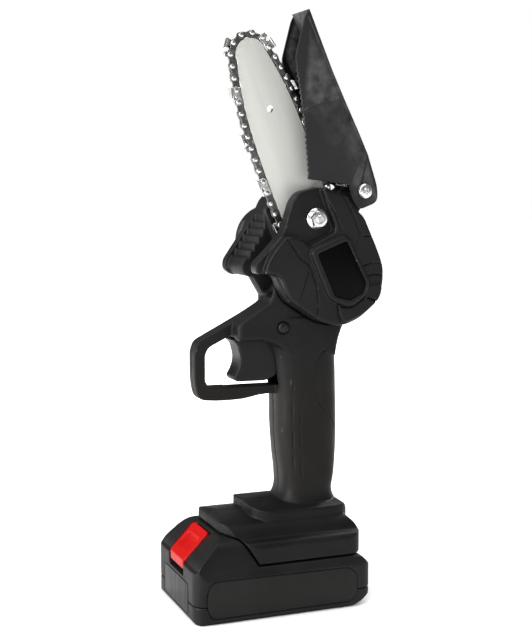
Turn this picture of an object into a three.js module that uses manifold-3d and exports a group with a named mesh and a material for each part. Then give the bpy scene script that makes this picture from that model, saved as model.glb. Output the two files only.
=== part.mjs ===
// One-hand battery chainsaw with a 4-inch guide bar, in millimetres, +Z up.
//
// Origin: the middle of the battery's flat underside, on which the saw stands.
// -X is the front (trigger side), +X the rear, -Y the side of the sprocket cover,
// +Y the side of the motor. The head is tilted forward, so its pieces are drawn in
// a frame of their own: the head frame has +Z along the guide bar, +X across it
// towards the rear, and its origin beside the drive sprocket.

import * as THREE from "three";
import { mergeVertices } from "three/addons/utils/BufferGeometryUtils.js";
import Module from "manifold-3d";

const wasm = await Module();
wasm.setup();

// ---------------------------------------------------------------- driving dimensions

// Head
const HEAD_TILT = THREE.MathUtils.degToRad(21);
const HEAD_X = 37.9;
const HEAD_Z = 175.2;

// Chain, bar and sprocket (1/4 inch pitch, 27 drive links)
const PITCH = 6.35;
const DRIVE_LINKS = 27;
const RIVETS = 2 * DRIVE_LINKS;
const CHAIN_Y = -9;
const BAR_THICKNESS = 3;
const RIVET_HEIGHT = 2.7;
const SPROCKET_TEETH = 6;
const SPROCKET_PITCH_RADIUS = (2 * SPROCKET_TEETH * PITCH) / (2 * Math.PI);
const SPROCKET_Z = 1.9;
const BAR_WIDEST_Z = 72;
const BAR_HALF_WIDTH = 15.05;
const BAR_RAIL_LOW_Z = 36;
const NOSE_RADIUS = 9;
const NOSE_CENTRE_Z = 135.4;
const NOSE_START_ANGLE = THREE.MathUtils.degToRad(15);
const STUD_Z = 42;

// Depths across the saw, from the cover's face to the motor's end
const COVER_FACE_Y = -30;
const POCKET_FACE_Y = -22;
const STUD_END_Y = -28;
const COVER_RIM_Y = -13.4;
const BAR_PAD_Y = -7.3;
const SLOT_FAR_Y = -3;
const HEAD_FAR_Y = 25;
const BARREL_END_Y = 38;
const CAP_END_Y = 50;

// Drive
const GEAR_PITCH_RADIUS = 21;
const PINION_PITCH_RADIUS = 7;
const SHAFT_RADIUS = 4;
const MOTOR_RADIUS = 17.9;
const MOTOR_X = -6.2;
const MOTOR_Z = 29.2;
const BARREL_RADIUS = 21;

// Chain guard
const GUARD_X = 33.1;
const GUARD_Z = 45.3;
const GUARD_NEAR_Y = -19.3;
const GUARD_FAR_Y = 1.3;
const GUARD_PLATE = 1.6;
const GUARD_LOBE_RADIUS = 8;

// Grip, trigger and foot
const GRIP_HALF_DEPTH = 16;
const BLOCK_HALF_DEPTH = 15.5;
const LOOP_HALF_DEPTH = 5;
const TRIGGER_HALF_DEPTH = 7.5;
const TRIGGER_PIVOT = { x: -7, z: 153 };
const LOCK_BUTTON = { x: 6.2, z: 155 };
const FOOT_HALF_DEPTH = 33.4;
const FOOT_BOTTOM_Z = 29.3;

// Battery
const BATTERY_FRONT_X = -51.5;
const BATTERY_REAR_X = 51.3;
const BATTERY_HALF_DEPTH = 36;
const BATTERY_TOP_Z = 28.3;
const CASE_SEAM_Z = 10;
const CELL_RADIUS = 9.1;
const CELL_LENGTH = 65;
const CELL_PITCH = 18.5;
const CELL_COUNT = 5;

// Shared clearances
const SEAM = 0.15;
const GAP = 0.3;

// ---------------------------------------------------------------- materials

const finish = (color, roughness, metalness = 0) => ({ color, roughness, metalness });
const BODY_PLASTIC = finish(0x232324, 0.62);
const COVER_PLASTIC = finish(0x28282a, 0.55);
const WINDOW_PLASTIC = finish(0x0c0c0d, 0.2);
const BAR_STEEL = finish(0xcfd0c9, 0.35, 0.85);
const CHAIN_STEEL = finish(0x6d6c69, 0.4, 0.9);
const GUARD_PLASTIC = finish(0x1e1e20, 0.5);
const BRIGHT_STEEL = finish(0xc4c6c8, 0.25, 1);
const DARK_STEEL = finish(0x5a5b5e, 0.45, 0.9);
const TRIGGER_PLASTIC = finish(0x2b2b2d, 0.5);
const RED_PLASTIC = finish(0xd3241c, 0.45);
const CELL_WRAP = finish(0x2f6fb3, 0.5);
const BOARD_GREEN = finish(0x1f5b36, 0.5);
const COPPER_BRASS = finish(0xb98b3e, 0.35, 1);
const RED_WIRE = finish(0xb5211c, 0.6);
const BLACK_WIRE = finish(0x151515, 0.6);
const BLACK_PLASTIC = finish(0x1b1b1c, 0.5);
const LABEL_FILM = finish(0x2c2d2b, 0.35);

// ---------------------------------------------------------------- frames and groups

const saw = new THREE.Group();
const head = new THREE.Group();
head.position.set(HEAD_X, 0, HEAD_Z);
head.rotation.y = -HEAD_TILT;
head.updateMatrix();
saw.add(head);

const BODY_FRAME = new THREE.Matrix4();
const HEAD_FRAME = head.matrix.clone();

// ---------------------------------------------------------------- solids

// The closed solid of a three.js geometry, placed by a frame.
function solidOf(geometry, frame = BODY_FRAME) {
  const bare = geometry.clone();
  bare.deleteAttribute("normal");
  bare.deleteAttribute("uv");
  bare.applyMatrix4(frame);
  const merged = mergeVertices(bare, 1e-4);
  const mesh = new wasm.Mesh({
    numProp: 3,
    vertProperties: new Float32Array(merged.attributes.position.array),
    triVerts: new Uint32Array(merged.index.array),
  });
  return new wasm.Manifold(mesh);
}

function joined(...solids) {
  return solids.reduce((whole, piece) => whole.add(piece));
}

function cut(solid, ...tools) {
  return tools.reduce((whole, tool) => whole.subtract(tool), solid);
}

// Adds a solid to a group as a named mesh with its own material.
function addPiece(group, name, solid, look) {
  const mesh = solid.getMesh();
  const geometry = new THREE.BufferGeometry();
  geometry.setAttribute("position", new THREE.BufferAttribute(mesh.vertProperties, 3));
  geometry.setIndex(new THREE.BufferAttribute(mesh.triVerts, 1));
  geometry.computeVertexNormals();
  const piece = new THREE.Mesh(geometry, new THREE.MeshStandardMaterial(look));
  piece.name = name;
  group.add(piece);
}

// A closed outline through corners [a, b, radius]; a corner without radius is sharp, and
// a radius never takes up a whole side.
function outline(corners) {
  const shape = new THREE.Shape();
  const count = corners.length;
  corners.forEach(([a, b, radius = 0], i) => {
    const corner = new THREE.Vector2(a, b);
    const before = new THREE.Vector2(...corners[(i + count - 1) % count].slice(0, 2));
    const after = new THREE.Vector2(...corners[(i + 1) % count].slice(0, 2));
    const room = 0.45 * Math.min(corner.distanceTo(before), corner.distanceTo(after));
    const start = towards(corner, before, Math.min(radius, room));
    const end = towards(corner, after, Math.min(radius, room));
    if (i === 0) shape.moveTo(start.x, start.y);
    else shape.lineTo(start.x, start.y);
    if (radius > 0) shape.quadraticCurveTo(corner.x, corner.y, end.x, end.y);
  });
  shape.closePath();
  return shape;
}

function towards(from, to, distance) {
  return from.clone().add(to.clone().sub(from).setLength(distance));
}

function rectangle(a0, a1, b0, b1, radius = 0) {
  return outline([[a0, b0, radius], [a1, b0, radius], [a1, b1, radius], [a0, b1, radius]]);
}

function disc(a, b, radius) {
  const shape = new THREE.Shape();
  shape.absarc(a, b, radius, 0, 2 * Math.PI, false);
  return shape;
}

// Extrudes an outline by a depth, its edges rounded by `edge` at both ends.
function extruded(shape, depth, edge, steps) {
  return new THREE.ExtrudeGeometry(shape, {
    depth: depth - 2 * edge,
    curveSegments: steps,
    bevelEnabled: edge > 0,
    bevelThickness: edge,
    bevelSize: edge,
    bevelOffset: -edge,
    bevelSegments: edge > 1.5 ? 2 : 1,
  }).translate(0, 0, edge);
}

// An outline in X and Z, as thick as from y0 to y1.
function slabY(shape, y0, y1, { edge = 0, steps = 2 } = {}) {
  return extruded(shape, y1 - y0, edge, steps).rotateX(Math.PI / 2).translate(0, y1, 0);
}

// An outline in X and Y, as thick as from z0 to z1.
function slabZ(shape, z0, z1, { edge = 0, steps = 2 } = {}) {
  return extruded(shape, z1 - z0, edge, steps).translate(0, 0, z0);
}

// An outline in Y and Z, as thick as from x0 to x1.
function slabX(shape, x0, x1, { edge = 0, steps = 2 } = {}) {
  return extruded(shape, x1 - x0, edge, steps)
    .rotateX(Math.PI / 2)
    .rotateZ(Math.PI / 2)
    .translate(x0, 0, 0);
}

function block(x0, x1, y0, y1, z0, z1) {
  return new THREE.BoxGeometry(x1 - x0, y1 - y0, z1 - z0)
    .translate((x0 + x1) / 2, (y0 + y1) / 2, (z0 + z1) / 2);
}

function rodY(x, z, radius, y0, y1, sides = 16) {
  return new THREE.CylinderGeometry(radius, radius, y1 - y0, sides)
    .translate(x, (y0 + y1) / 2, z);
}

function rodX(y, z, radius, x0, x1, sides = 12) {
  return new THREE.CylinderGeometry(radius, radius, x1 - x0, sides)
    .rotateZ(Math.PI / 2)
    .translate((x0 + x1) / 2, y, z);
}

function rodZ(x, y, radius, z0, z1, sides = 12) {
  return new THREE.CylinderGeometry(radius, radius, z1 - z0, sides)
    .rotateX(Math.PI / 2)
    .translate(x, y, (z0 + z1) / 2);
}

// A body turned about a Y axis through (x, z); the profile lists [radius, y].
function turnedY(x, z, profile, sides = 16) {
  const points = profile.map(([radius, y]) => new THREE.Vector2(radius, y));
  return new THREE.LatheGeometry(points, sides).translate(x, 0, z);
}

// A column with flat ends whose level sections are rounded rectangles: each section
// is [z, xFront, xRear, halfDepth], and `square` makes them squarer as it grows.
function column(sections, inset, square = 3.2, sides = 20) {
  const geometry = new THREE.CylinderGeometry(1, 1, 1, sides, sections.length - 1)
    .rotateX(Math.PI / 2);
  const place = geometry.attributes.position;
  for (let i = 0; i < place.count; i += 1) {
    const level = Math.round((place.getZ(i) + 0.5) * (sections.length - 1));
    const [z, xFront, xRear, halfDepth] = sections[level];
    const angle = Math.atan2(place.getY(i), place.getX(i));
    const reach = Math.hypot(place.getX(i), place.getY(i)) < 0.5 ? 0 : 1;
    const c = Math.cos(angle);
    const s = Math.sin(angle);
    const x = Math.sign(c) * Math.abs(c) ** (2 / square) * ((xRear - xFront) / 2 - inset);
    const y = Math.sign(s) * Math.abs(s) ** (2 / square) * (halfDepth - inset);
    place.setXYZ(i, (xFront + xRear) / 2 + reach * x, reach * y, z);
  }
  return geometry;
}

// A helical spring of round wire along +Z from its lowest turn.
class Helix extends THREE.Curve {
  constructor(radius, length, turns) {
    super();
    Object.assign(this, { radius, length, turns });
  }

  getPoint(t, target = new THREE.Vector3()) {
    const angle = 2 * Math.PI * this.turns * t;
    return target.set(
      this.radius * Math.cos(angle),
      this.radius * Math.sin(angle),
      this.length * t,
    );
  }
}

function spring(radius, wire, length, turns) {
  return new THREE.ExtrudeGeometry(disc(0, 0, wire), {
    steps: Math.round(6 * turns),
    curveSegments: 3,
    extrudePath: new Helix(radius, length, turns),
  });
}

// A round wire along hand-chosen points.
function wireTube(points, radius) {
  const route = new THREE.CatmullRomCurve3(points.map((p) => new THREE.Vector3(...p)));
  return new THREE.ExtrudeGeometry(disc(0, 0, radius), {
    steps: 2 * points.length - 2,
    curveSegments: 4,
    extrudePath: route,
  });
}

// ---------------------------------------------------------------- guide bar and chain

// Half the bar's width at a height: widest low down, narrowing to the nose.
function railHalfWidth(z) {
  const noseDrop = 6.35;
  const tailDrop = 1.0;
  if (z > BAR_WIDEST_Z) {
    const share = (z - BAR_WIDEST_Z) / (NOSE_CENTRE_Z - BAR_WIDEST_Z);
    return BAR_HALF_WIDTH - noseDrop * share ** 2.75;
  }
  const share = (BAR_WIDEST_Z - z) / (BAR_WIDEST_Z - 45);
  return BAR_HALF_WIDTH - tailDrop * share ** 2;
}

// The rear rail of the bar from low to high, then the nose to its middle.
function rearRail() {
  const railSteps = 9;
  const noseSteps = 5;
  const top = NOSE_CENTRE_Z + NOSE_RADIUS * Math.sin(NOSE_START_ANGLE);
  const points = [];
  for (let i = 0; i < railSteps; i += 1) {
    const z = BAR_RAIL_LOW_Z + ((top - BAR_RAIL_LOW_Z) * i) / railSteps;
    points.push(new THREE.Vector2(railHalfWidth(z), z));
  }
  for (let i = 0; i <= noseSteps; i += 1) {
    const angle = NOSE_START_ANGLE + ((Math.PI / 2 - NOSE_START_ANGLE) * i) / noseSteps;
    points.push(new THREE.Vector2(
      NOSE_RADIUS * Math.cos(angle),
      NOSE_CENTRE_Z + NOSE_RADIUS * Math.sin(angle),
    ));
  }
  return points;
}

function mirrored(points) {
  return points.map((p) => new THREE.Vector2(-p.x, p.y)).reverse();
}

// The closed line that the chain's feet run on: sprocket, rear rail, nose, front rail.
function chainLine() {
  const sprocketSteps = 10;
  const radius = SPROCKET_PITCH_RADIUS - RIVET_HEIGHT;
  const wrap = THREE.MathUtils.degToRad(7);
  const rail = rearRail();
  const points = [];
  for (let i = 0; i <= sprocketSteps; i += 1) {
    const angle = -Math.PI + wrap + ((Math.PI - 2 * wrap) * i) / sprocketSteps;
    points.push(new THREE.Vector2(
      radius * Math.cos(angle),
      SPROCKET_Z + radius * Math.sin(angle),
    ));
  }
  return [...points, ...rail, ...mirrored(rail).slice(1)];
}

// A closed line moved outward by a distance.
function movedOut(points, distance) {
  const count = points.length;
  const side = THREE.ShapeUtils.isClockWise(points) ? -1 : 1;
  return points.map((point, i) => {
    const along = points[(i + 1) % count].clone().sub(points[(i + count - 1) % count]);
    const outward = new THREE.Vector2(along.y, -along.x).normalize();
    return point.clone().addScaledVector(outward, side * distance);
  });
}

// A ring between two closed lines, as thick as from y0 to y1.
function ring(outer, inner, y0, y1) {
  const shape = new THREE.Shape(outer);
  if (inner) shape.holes.push(new THREE.Path(inner));
  return slabY(shape, y0, y1);
}

function addGuideBar() {
  const rail = rearRail();
  const tail = [
    new THREE.Vector2(-9.5, 21),
    new THREE.Vector2(9.5, 21),
    new THREE.Vector2(12.5, 27),
  ];
  const edge = [...tail, ...rail, ...mirrored(rail).slice(1), new THREE.Vector2(-12.5, 27)];
  const y0 = CHAIN_Y - BAR_THICKNESS / 2;
  const y1 = CHAIN_Y + BAR_THICKNESS / 2;
  const grooveHalf = 0.85;
  const grooveDepth = 4.6;
  const groove = solidOf(ring(
    movedOut(edge, 2), movedOut(edge, -grooveDepth), CHAIN_Y - grooveHalf, CHAIN_Y + grooveHalf,
  ));
  const studSlot = solidOf(slabY(rectangle(-3.4, 3.4, 33, 50, 3.2), y0 - 1, y1 + 1));
  const tensionHole = solidOf(rodY(8.2, 37, 1.9, y0 - 1, y1 + 1, 12));
  const oilHole = solidOf(rodY(0, 105.2, 1.9, y0 - 1, y1 + 1, 12));
  const plate = solidOf(ring(edge, null, y0, y1));
  addPiece(head, "guide_bar", cut(plate, groove, studSlot, tensionHole, oilHole), BAR_STEEL);
}

// The chain as one loop: cutters and tie straps outside the rails, tangs in the groove.
function addSawChain() {
  const foot = chainLine();
  const path = new THREE.CatmullRomCurve3(
    movedOut(foot, RIVET_HEIGHT).map((p) => new THREE.Vector3(p.x, 0, p.y)), true,
  );
  path.arcLengthDivisions = 1200;
  const cutterHeight = 3.5;
  const strapHeight = 1.7;
  const crown = [];
  for (let i = 0; i < RIVETS; i += 1) {
    const height = i % 4 === 3 ? cutterHeight : strapHeight;
    [0.12, 0.88].forEach((share) => {
      const t = ((i + share) / RIVETS) % 1;
      const point = path.getPointAt(t);
      const along = path.getTangentAt(t);
      crown.push(new THREE.Vector2(point.x + along.z * height, point.z - along.x * height));
    });
  }
  const linkHalf = 2.3;
  const tangHalf = 0.55;
  const links = solidOf(ring(
    crown, movedOut(foot, 0.35), CHAIN_Y - linkHalf, CHAIN_Y + linkHalf,
  ));
  const tangs = solidOf(ring(
    movedOut(foot, 1), movedOut(foot, -3.4), CHAIN_Y - tangHalf, CHAIN_Y + tangHalf,
  ));
  addPiece(head, "saw_chain", joined(links, tangs), CHAIN_STEEL);
}

// ---------------------------------------------------------------- drive train

function addDrive() {
  const rim = SPROCKET_PITCH_RADIUS - RIVET_HEIGHT - 0.15;
  const grooveHalf = 0.9;
  const sprocket = cut(
    solidOf(turnedY(0, SPROCKET_Z, [
      [0, -12], [rim, -12], [rim, CHAIN_Y - grooveHalf], [5.7, CHAIN_Y - grooveHalf],
      [5.7, CHAIN_Y + grooveHalf], [rim, CHAIN_Y + grooveHalf], [rim, -7.7], [0, -7.7],
    ])),
    solidOf(rodY(0, SPROCKET_Z, SHAFT_RADIUS + 0.1, -13, -7)),
  );
  addPiece(head, "drive_sprocket", sprocket, DARK_STEEL);

  const clip = cut(
    solidOf(rodY(0, SPROCKET_Z, 6, -13.4, -12.4, 20)),
    solidOf(rodY(0, SPROCKET_Z, SHAFT_RADIUS - 0.6, -14, -12)),
    solidOf(block(-1.8, 1.8, -14, -12, SPROCKET_Z - 8, SPROCKET_Z)),
  );
  addPiece(head, "sprocket_clip", clip, BRIGHT_STEEL);

  const neck = SHAFT_RADIUS - 0.8;
  const shaft = solidOf(turnedY(0, SPROCKET_Z, [
    [0, -15], [SHAFT_RADIUS, -15], [SHAFT_RADIUS, -13.6], [neck, -13.6], [neck, -12.2],
    [SHAFT_RADIUS, -12.2], [SHAFT_RADIUS, 17], [0, 17],
  ]));
  addPiece(head, "output_shaft", shaft, BRIGHT_STEEL);

  addShaftRing("output_gear", GEAR_PITCH_RADIUS - 0.15, 1.4, 8.2, DARK_STEEL);
  addShaftRing("bearing_near", 9.4, -5.4, -0.8, BRIGHT_STEEL);
  addShaftRing("bearing_far", 8, 13.2, 17.2, BRIGHT_STEEL);
}

// A ring on the output shaft, from y0 to y1.
function addShaftRing(name, radius, y0, y1, look) {
  const body = cut(
    solidOf(rodY(0, SPROCKET_Z, radius, y0, y1, 32)),
    solidOf(rodY(0, SPROCKET_Z, SHAFT_RADIUS + 0.1, y0 - 1, y1 + 1)),
  );
  addPiece(head, name, body, look);
}

const MOTOR_FRONT_Y = 13;
const MOTOR_BACK_Y = 42;
const MOTOR_SCREW_REACH = 11;

function motorScrewPlaces() {
  return [1, -1].map((side) => ({
    x: MOTOR_X + side * MOTOR_SCREW_REACH * Math.cos(0.6),
    z: MOTOR_Z - side * MOTOR_SCREW_REACH * Math.sin(0.6),
  }));
}

function gearboxPlateShape(grow) {
  const shaftReach = 12 + grow;
  const motorReach = 17 + grow;
  return outline([
    [-shaftReach, SPROCKET_Z - shaftReach, 8], [shaftReach, SPROCKET_Z - shaftReach, 8],
    [MOTOR_X + motorReach, MOTOR_Z, 4], [MOTOR_X + motorReach, MOTOR_Z + motorReach, 10],
    [MOTOR_X - motorReach, MOTOR_Z + motorReach, 10], [MOTOR_X - motorReach, MOTOR_Z, 4],
  ]);
}

function addMotor() {
  const screws = motorScrewPlaces();
  const screwHoles = screws.map(({ x, z }) => solidOf(rodY(x, z, 1.7, 9, 16, 10)));

  const plate = cut(
    solidOf(slabY(gearboxPlateShape(0), 10.6, 12.6)),
    solidOf(rodY(0, SPROCKET_Z, 6.5, 10, 13)),
    solidOf(rodY(MOTOR_X, MOTOR_Z, 6.3, 10, 13.4)),
    ...screwHoles,
  );
  addPiece(head, "gearbox_plate", plate, BRIGHT_STEEL);

  const can = cut(
    solidOf(turnedY(MOTOR_X, MOTOR_Z, [
      [0, MOTOR_FRONT_Y], [MOTOR_RADIUS, MOTOR_FRONT_Y], [MOTOR_RADIUS, MOTOR_BACK_Y],
      [MOTOR_RADIUS - 1.4, MOTOR_BACK_Y], [MOTOR_RADIUS - 1.4, MOTOR_FRONT_Y + 2],
      [0, MOTOR_FRONT_Y + 2],
    ], 30)),
    solidOf(rodY(MOTOR_X, MOTOR_Z, 3, 12, 16, 16)),
    ...screwHoles,
  );
  addPiece(head, "motor_can", can, DARK_STEEL);

  const bell = cut(
    solidOf(turnedY(MOTOR_X, MOTOR_Z, [
      [0, 42.3], [MOTOR_RADIUS - 0.4, 42.3], [MOTOR_RADIUS - 0.4, 45], [7, 45], [7, 46.6], [0, 46.6],
    ], 24)),
    solidOf(rodY(MOTOR_X, MOTOR_Z, 2, 42, 45.4, 12)),
  );
  addPiece(head, "motor_end_bell", bell, BLACK_PLASTIC);

  const core = 14.5;
  const rotor = solidOf(turnedY(MOTOR_X, MOTOR_Z, [
    [0, 2], [1.6, 2], [1.6, 18], [core, 18], [core, 36], [6, 36], [6, 41], [1.6, 41],
    [1.6, 45], [0, 45],
  ], 20));
  addPiece(head, "motor_rotor", rotor, COPPER_BRASS);

  const pinion = cut(
    solidOf(rodY(MOTOR_X, MOTOR_Z, PINION_PITCH_RADIUS - 0.15, 1.6, 8.4, 20)),
    solidOf(rodY(MOTOR_X, MOTOR_Z, 1.7, 1, 9, 12)),
  );
  addPiece(head, "motor_pinion", pinion, DARK_STEEL);

  screws.forEach(({ x, z }, i) => {
    const screw = solidOf(turnedY(x, z, [
      [0, 8.9], [2.6, 8.9], [2.6, 10.4], [1.5, 10.4], [1.5, 15], [0, 15],
    ], 10));
    addPiece(head, `motor_screw_${i + 1}`, screw, BRIGHT_STEEL);
  });
}

// The bar's clamp stud with its collar, and the flanged nut on the cover's pocket face.
function addBarClamp() {
  const stud = solidOf(turnedY(0, STUD_Z, [
    [0, STUD_END_Y], [2.3, STUD_END_Y], [2.3, -4.2], [4.6, -4.2], [4.6, -2.6], [0, -2.6],
  ], 16));
  addPiece(head, "bar_stud", stud, BRIGHT_STEEL);

  const seat = POCKET_FACE_Y - GAP;
  const nutHeight = 4.6;
  const flangeHeight = 1.3;
  const hexagon = new THREE.CylinderGeometry(4.6, 4.6, nutHeight, 6)
    .translate(0, seat - nutHeight / 2, STUD_Z);
  const flange = rodY(0, STUD_Z, 5.9, seat - flangeHeight, seat, 24);
  const bore = rodY(0, STUD_Z, 2.5, seat - nutHeight - 1, seat + 1, 16);
  const nut = cut(joined(solidOf(hexagon), solidOf(flange)), solidOf(bore));
  addPiece(head, "bar_nut", nut, BRIGHT_STEEL);
}

// Tensioner: a screw along the bar drives a block whose pin sits in the bar's hole.
function addTensioner() {
  const x = 8.2;
  const z = 37;
  const screwRadius = 1.5;
  const blockBody = cut(
    joined(
      solidOf(block(x - 3, x + 3, -6.9, -3.4, z - 3.5, z + 3.5)),
      solidOf(rodY(x, z, 1.5, -10.4, -6, 12)),
    ),
    solidOf(rodZ(x, -5.1, screwRadius + 0.1, z - 5, z + 5, 10)),
  );
  addPiece(head, "tension_block", blockBody, DARK_STEEL);
  const screw = joined(
    solidOf(rodZ(x, -5.1, screwRadius, 27, 50, 10)),
    solidOf(rodZ(x, -5.1, 2.4, 50, 52.5, 12)),
  );
  addPiece(head, "tension_screw", screw, BRIGHT_STEEL);
}

// ---------------------------------------------------------------- chain guard

const GUARD_BACK = [
  [42.4, 62.9], [41.3, 77.8], [39.6, 95.6], [38.2, 113.1], [37.4, 132.9], [36.9, 147.5],
];

// The serrated front edge, from its upper to its lower end.
function guardTeeth() {
  const teeth = 20;
  const notch = 1.1;
  const top = new THREE.Vector2(18.2, 121);
  const low = new THREE.Vector2(4, 63.5);
  const points = [];
  for (let i = 0; i < teeth; i += 1) {
    const share = i / teeth;
    const root = top.clone().lerp(low, share);
    const bulge = 0.9 * Math.sin(Math.PI * share);
    points.push([root.x + bulge + notch, root.y]);
    points.push([root.x + bulge, root.y - 1.6]);
  }
  return points;
}

function guardPlateShape() {
  return outline([
    ...guardTeeth(), [4, 63.5, 1.5], [26, 51.6, 2], [24.6, 44, 5], [26.5, 36.6, 6],
    [39, 36.6, 6], [41.6, 45, 3], ...GUARD_BACK.slice(0, 5), [36.9, 147.5, 1.5],
    [33.1, 144.6, 3], [20.2, 126.6, 4],
  ]);
}

function addChainGuard() {
  const thickness = 1.9;
  const inner = GUARD_BACK.map(([x, z]) => [x - thickness, z]).reverse();
  const spine = slabY(outline([...GUARD_BACK, ...inner]), GUARD_NEAR_Y + 0.5, GUARD_FAR_Y - 0.5);
  const plates = [GUARD_NEAR_Y, GUARD_FAR_Y - GUARD_PLATE].map(
    (y) => solidOf(slabY(guardPlateShape(), y, y + GUARD_PLATE)),
  );
  const hole = solidOf(rodY(GUARD_X, GUARD_Z, 2.3, -22, 5, 16));
  addPiece(head, "chain_guard", cut(joined(solidOf(spine), ...plates), hole), GUARD_PLASTIC);

  const screw = solidOf(turnedY(GUARD_X, GUARD_Z, [
    [0, -22], [2.6, -22], [4.1, -20.9], [4.1, -19.6], [2, -19.6], [2, 4.4], [0, 4.4],
  ], 20));
  addPiece(head, "guard_pivot_screw", screw, BRIGHT_STEEL);

  const nut = cut(
    solidOf(new THREE.CylinderGeometry(3.9, 3.9, 2.6, 6).translate(GUARD_X, 2.9, GUARD_Z)),
    solidOf(rodY(GUARD_X, GUARD_Z, 2.2, 1, 5, 12)),
  );
  addPiece(head, "guard_pivot_nut", nut, BRIGHT_STEEL);

  const coil = spring(6.2, 0.5, 2.6, 2.5).rotateX(-Math.PI / 2).translate(GUARD_X, -16.4, GUARD_Z);
  addPiece(head, "guard_spring", solidOf(coil), BRIGHT_STEEL);
}

// ---------------------------------------------------------------- sprocket cover

// The lower right edge that the cover and the housing behind it share.
const HEAD_EDGE = [
  [19.8, 47.8, 3], [21.6, 40.1, 3], [25.5, 33.7, 3], [26.8, 14.8, 6], [26.9, 3, 8],
  [21, -9.5, 8], [5.5, -17.6, 6], [-8.7, -17.8, 6], [-19.2, -11.1, 6],
];

function coverFace() {
  return outline([
    [-20.3, 42.4, 3], [-15.5, 48.6, 3], [-9.6, 56, 3], [-4, 59.1, 3], [8.8, 57.2, 4],
    [14.6, 52.3, 2], ...HEAD_EDGE, [-32.6, 7.4, 4], [-33.4, 23, 3], [-43.2, 27.2, 3],
    [-41.6, 32.6, 3], [-33, 36.2, 4],
  ]);
}

function addSprocketCover() {
  const raisedFace = outline([
    [7.2, 57.6, 3], [14.4, 52.2, 4], ...HEAD_EDGE.map(([x, z, r]) => [0.985 * x, z, r]),
    [-31.8, 7.4, 4], [-32.2, 22.4, 5], [-40.4, 26.6, 4], [-33, 34.4, 4], [-20.8, 41, 4],
    [-13.2, 36, 4],
    [-11, 30.5, 3], [7, 32, 4],
  ]);
  const frameFace = outline([
    [-12.4, 28.8, 4], [11.2, 29, 4], [14.8, -0.8, 4], [9.4, -7, 4], [-1.4, -9.2, 4],
    [-11.4, -0.6, 4],
  ]);
  const inside = outline([
    [22.6, 28.5, 2], [24.3, 14.8, 6], [24.3, 4, 7], [19.4, -7.6, 7], [5, -15.2, 6],
    [-8, -15.4, 6], [-17.6, -9.4, 5], [-29.8, 7.4, 4], [-29.6, 19, 4], [-17, 28.5, 3],
  ]);
  const shell = joined(
    solidOf(slabY(coverFace(), POCKET_FACE_Y, COVER_RIM_Y, { edge: 0.8 })),
    solidOf(slabY(raisedFace, -27, -20, { edge: 1 })),
    solidOf(slabY(frameFace, COVER_FACE_Y, -24, { edge: 1.2, steps: 3 })),
    solidOf(rodY(0, STUD_Z, 9, -14, -10.8)),
  );
  const cover = cut(
    shell,
    solidOf(slabY(inside, -25.2, -12)),
    solidOf(slabY(windowShape(0.25), -31, -28.3)),
    solidOf(rodY(0, STUD_Z, 2.8, -24, -10, 16)),
  );
  addPiece(head, "sprocket_cover", cover, COVER_PLASTIC);
  addPiece(head, "cover_window", solidOf(slabY(windowShape(0), -29.6, -28.6)),
    WINDOW_PLASTIC);
}

function windowShape(grow) {
  return outline([
    [-8.9 - grow, 25.4 + grow, 1.5], [9.2 + grow, 25.6 + grow, 1.5], [12.1 + grow, -0.4, 2],
    [8.8 + grow, -4.3 - grow, 2], [0.4, -5.3 - grow, 2], [-7.4 - grow, 0.2 - grow, 2],
  ]);
}

// ---------------------------------------------------------------- housing

// The saw-toothed bumper edge, from its lowest tooth up to the head's top.
function bumperTeeth() {
  const teeth = 6;
  const depth = 2;
  const tip = new THREE.Vector2(-38.6, 34.7);
  const top = new THREE.Vector2(-16.6, 51.2);
  const outward = new THREE.Vector2(-0.6, 0.8);
  const points = [];
  for (let i = 0; i < teeth; i += 1) {
    const root = tip.clone().lerp(top, i / teeth).addScaledVector(outward, -depth);
    const crest = tip.clone().lerp(top, (i + 0.8) / teeth);
    points.push([root.x, root.y], [crest.x, crest.y]);
  }
  return points;
}

// The head behind the chain: its toothed bumper has a smooth cheek on the motor's side,
// and the neck under it is only as deep as the finger loop.
function headBlock() {
  const side = outline([
    ...bumperTeeth().reverse(), [-39.4, 34], [-43.8, 30.7, 3], [-43.4, 25.4, 3],
    [-39.1, 22.5, 1], [-37.2, 11],
    [-20, -14], [-8.7, -17.8, 4], [5.5, -17.6, 6], [21, -9.5, 8], [26.9, 3, 8], [26.8, 14.8, 6],
    [25.5, 33.7, 3], [21.6, 40.1, 3], [19.8, 47.8, 3], [14.6, 52.3, 2], [8.8, 57.5, 4],
    [-4, 59.6, 3], [-11, 57, 3],
  ]);
  const cheek = outline([
    [-6, 58.6], [-8.3, 57.5, 2], [-43.9, 33.4, 4], [-46, 28.6, 3], [-42.6, 23.6, 3], [-37, 20],
    [-20, 20], [-6, 40],
  ]);
  const body = joined(
    solidOf(slabY(side, SLOT_FAR_Y, HEAD_FAR_Y, { edge: 0.6 }), HEAD_FRAME),
    solidOf(slabY(cheek, HEAD_FAR_Y - 5.5, HEAD_FAR_Y, { edge: 0.6 }), HEAD_FRAME),
  );
  return cut(body, solidOf(besideNeck()));
}

function besideNeck() {
  return block(-30, 8.5, LOOP_HALF_DEPTH + 0.5, HEAD_FAR_Y + 1, 160, 182.4);
}

// The wall around the sprocket, and the pad that the bar lies on.
function chainCompartmentWall() {
  const side = outline([
    [-20, 56], [-11.4, 55.1, 3], [-4, 59.1, 3], [8.8, 57.2, 4], [14.6, 52.3, 2],
    ...HEAD_EDGE, [-31, 4, 4], [-31, 20],
  ]);
  return solidOf(slabY(side, COVER_RIM_Y + GAP, SLOT_FAR_Y + 1), HEAD_FRAME);
}

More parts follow.
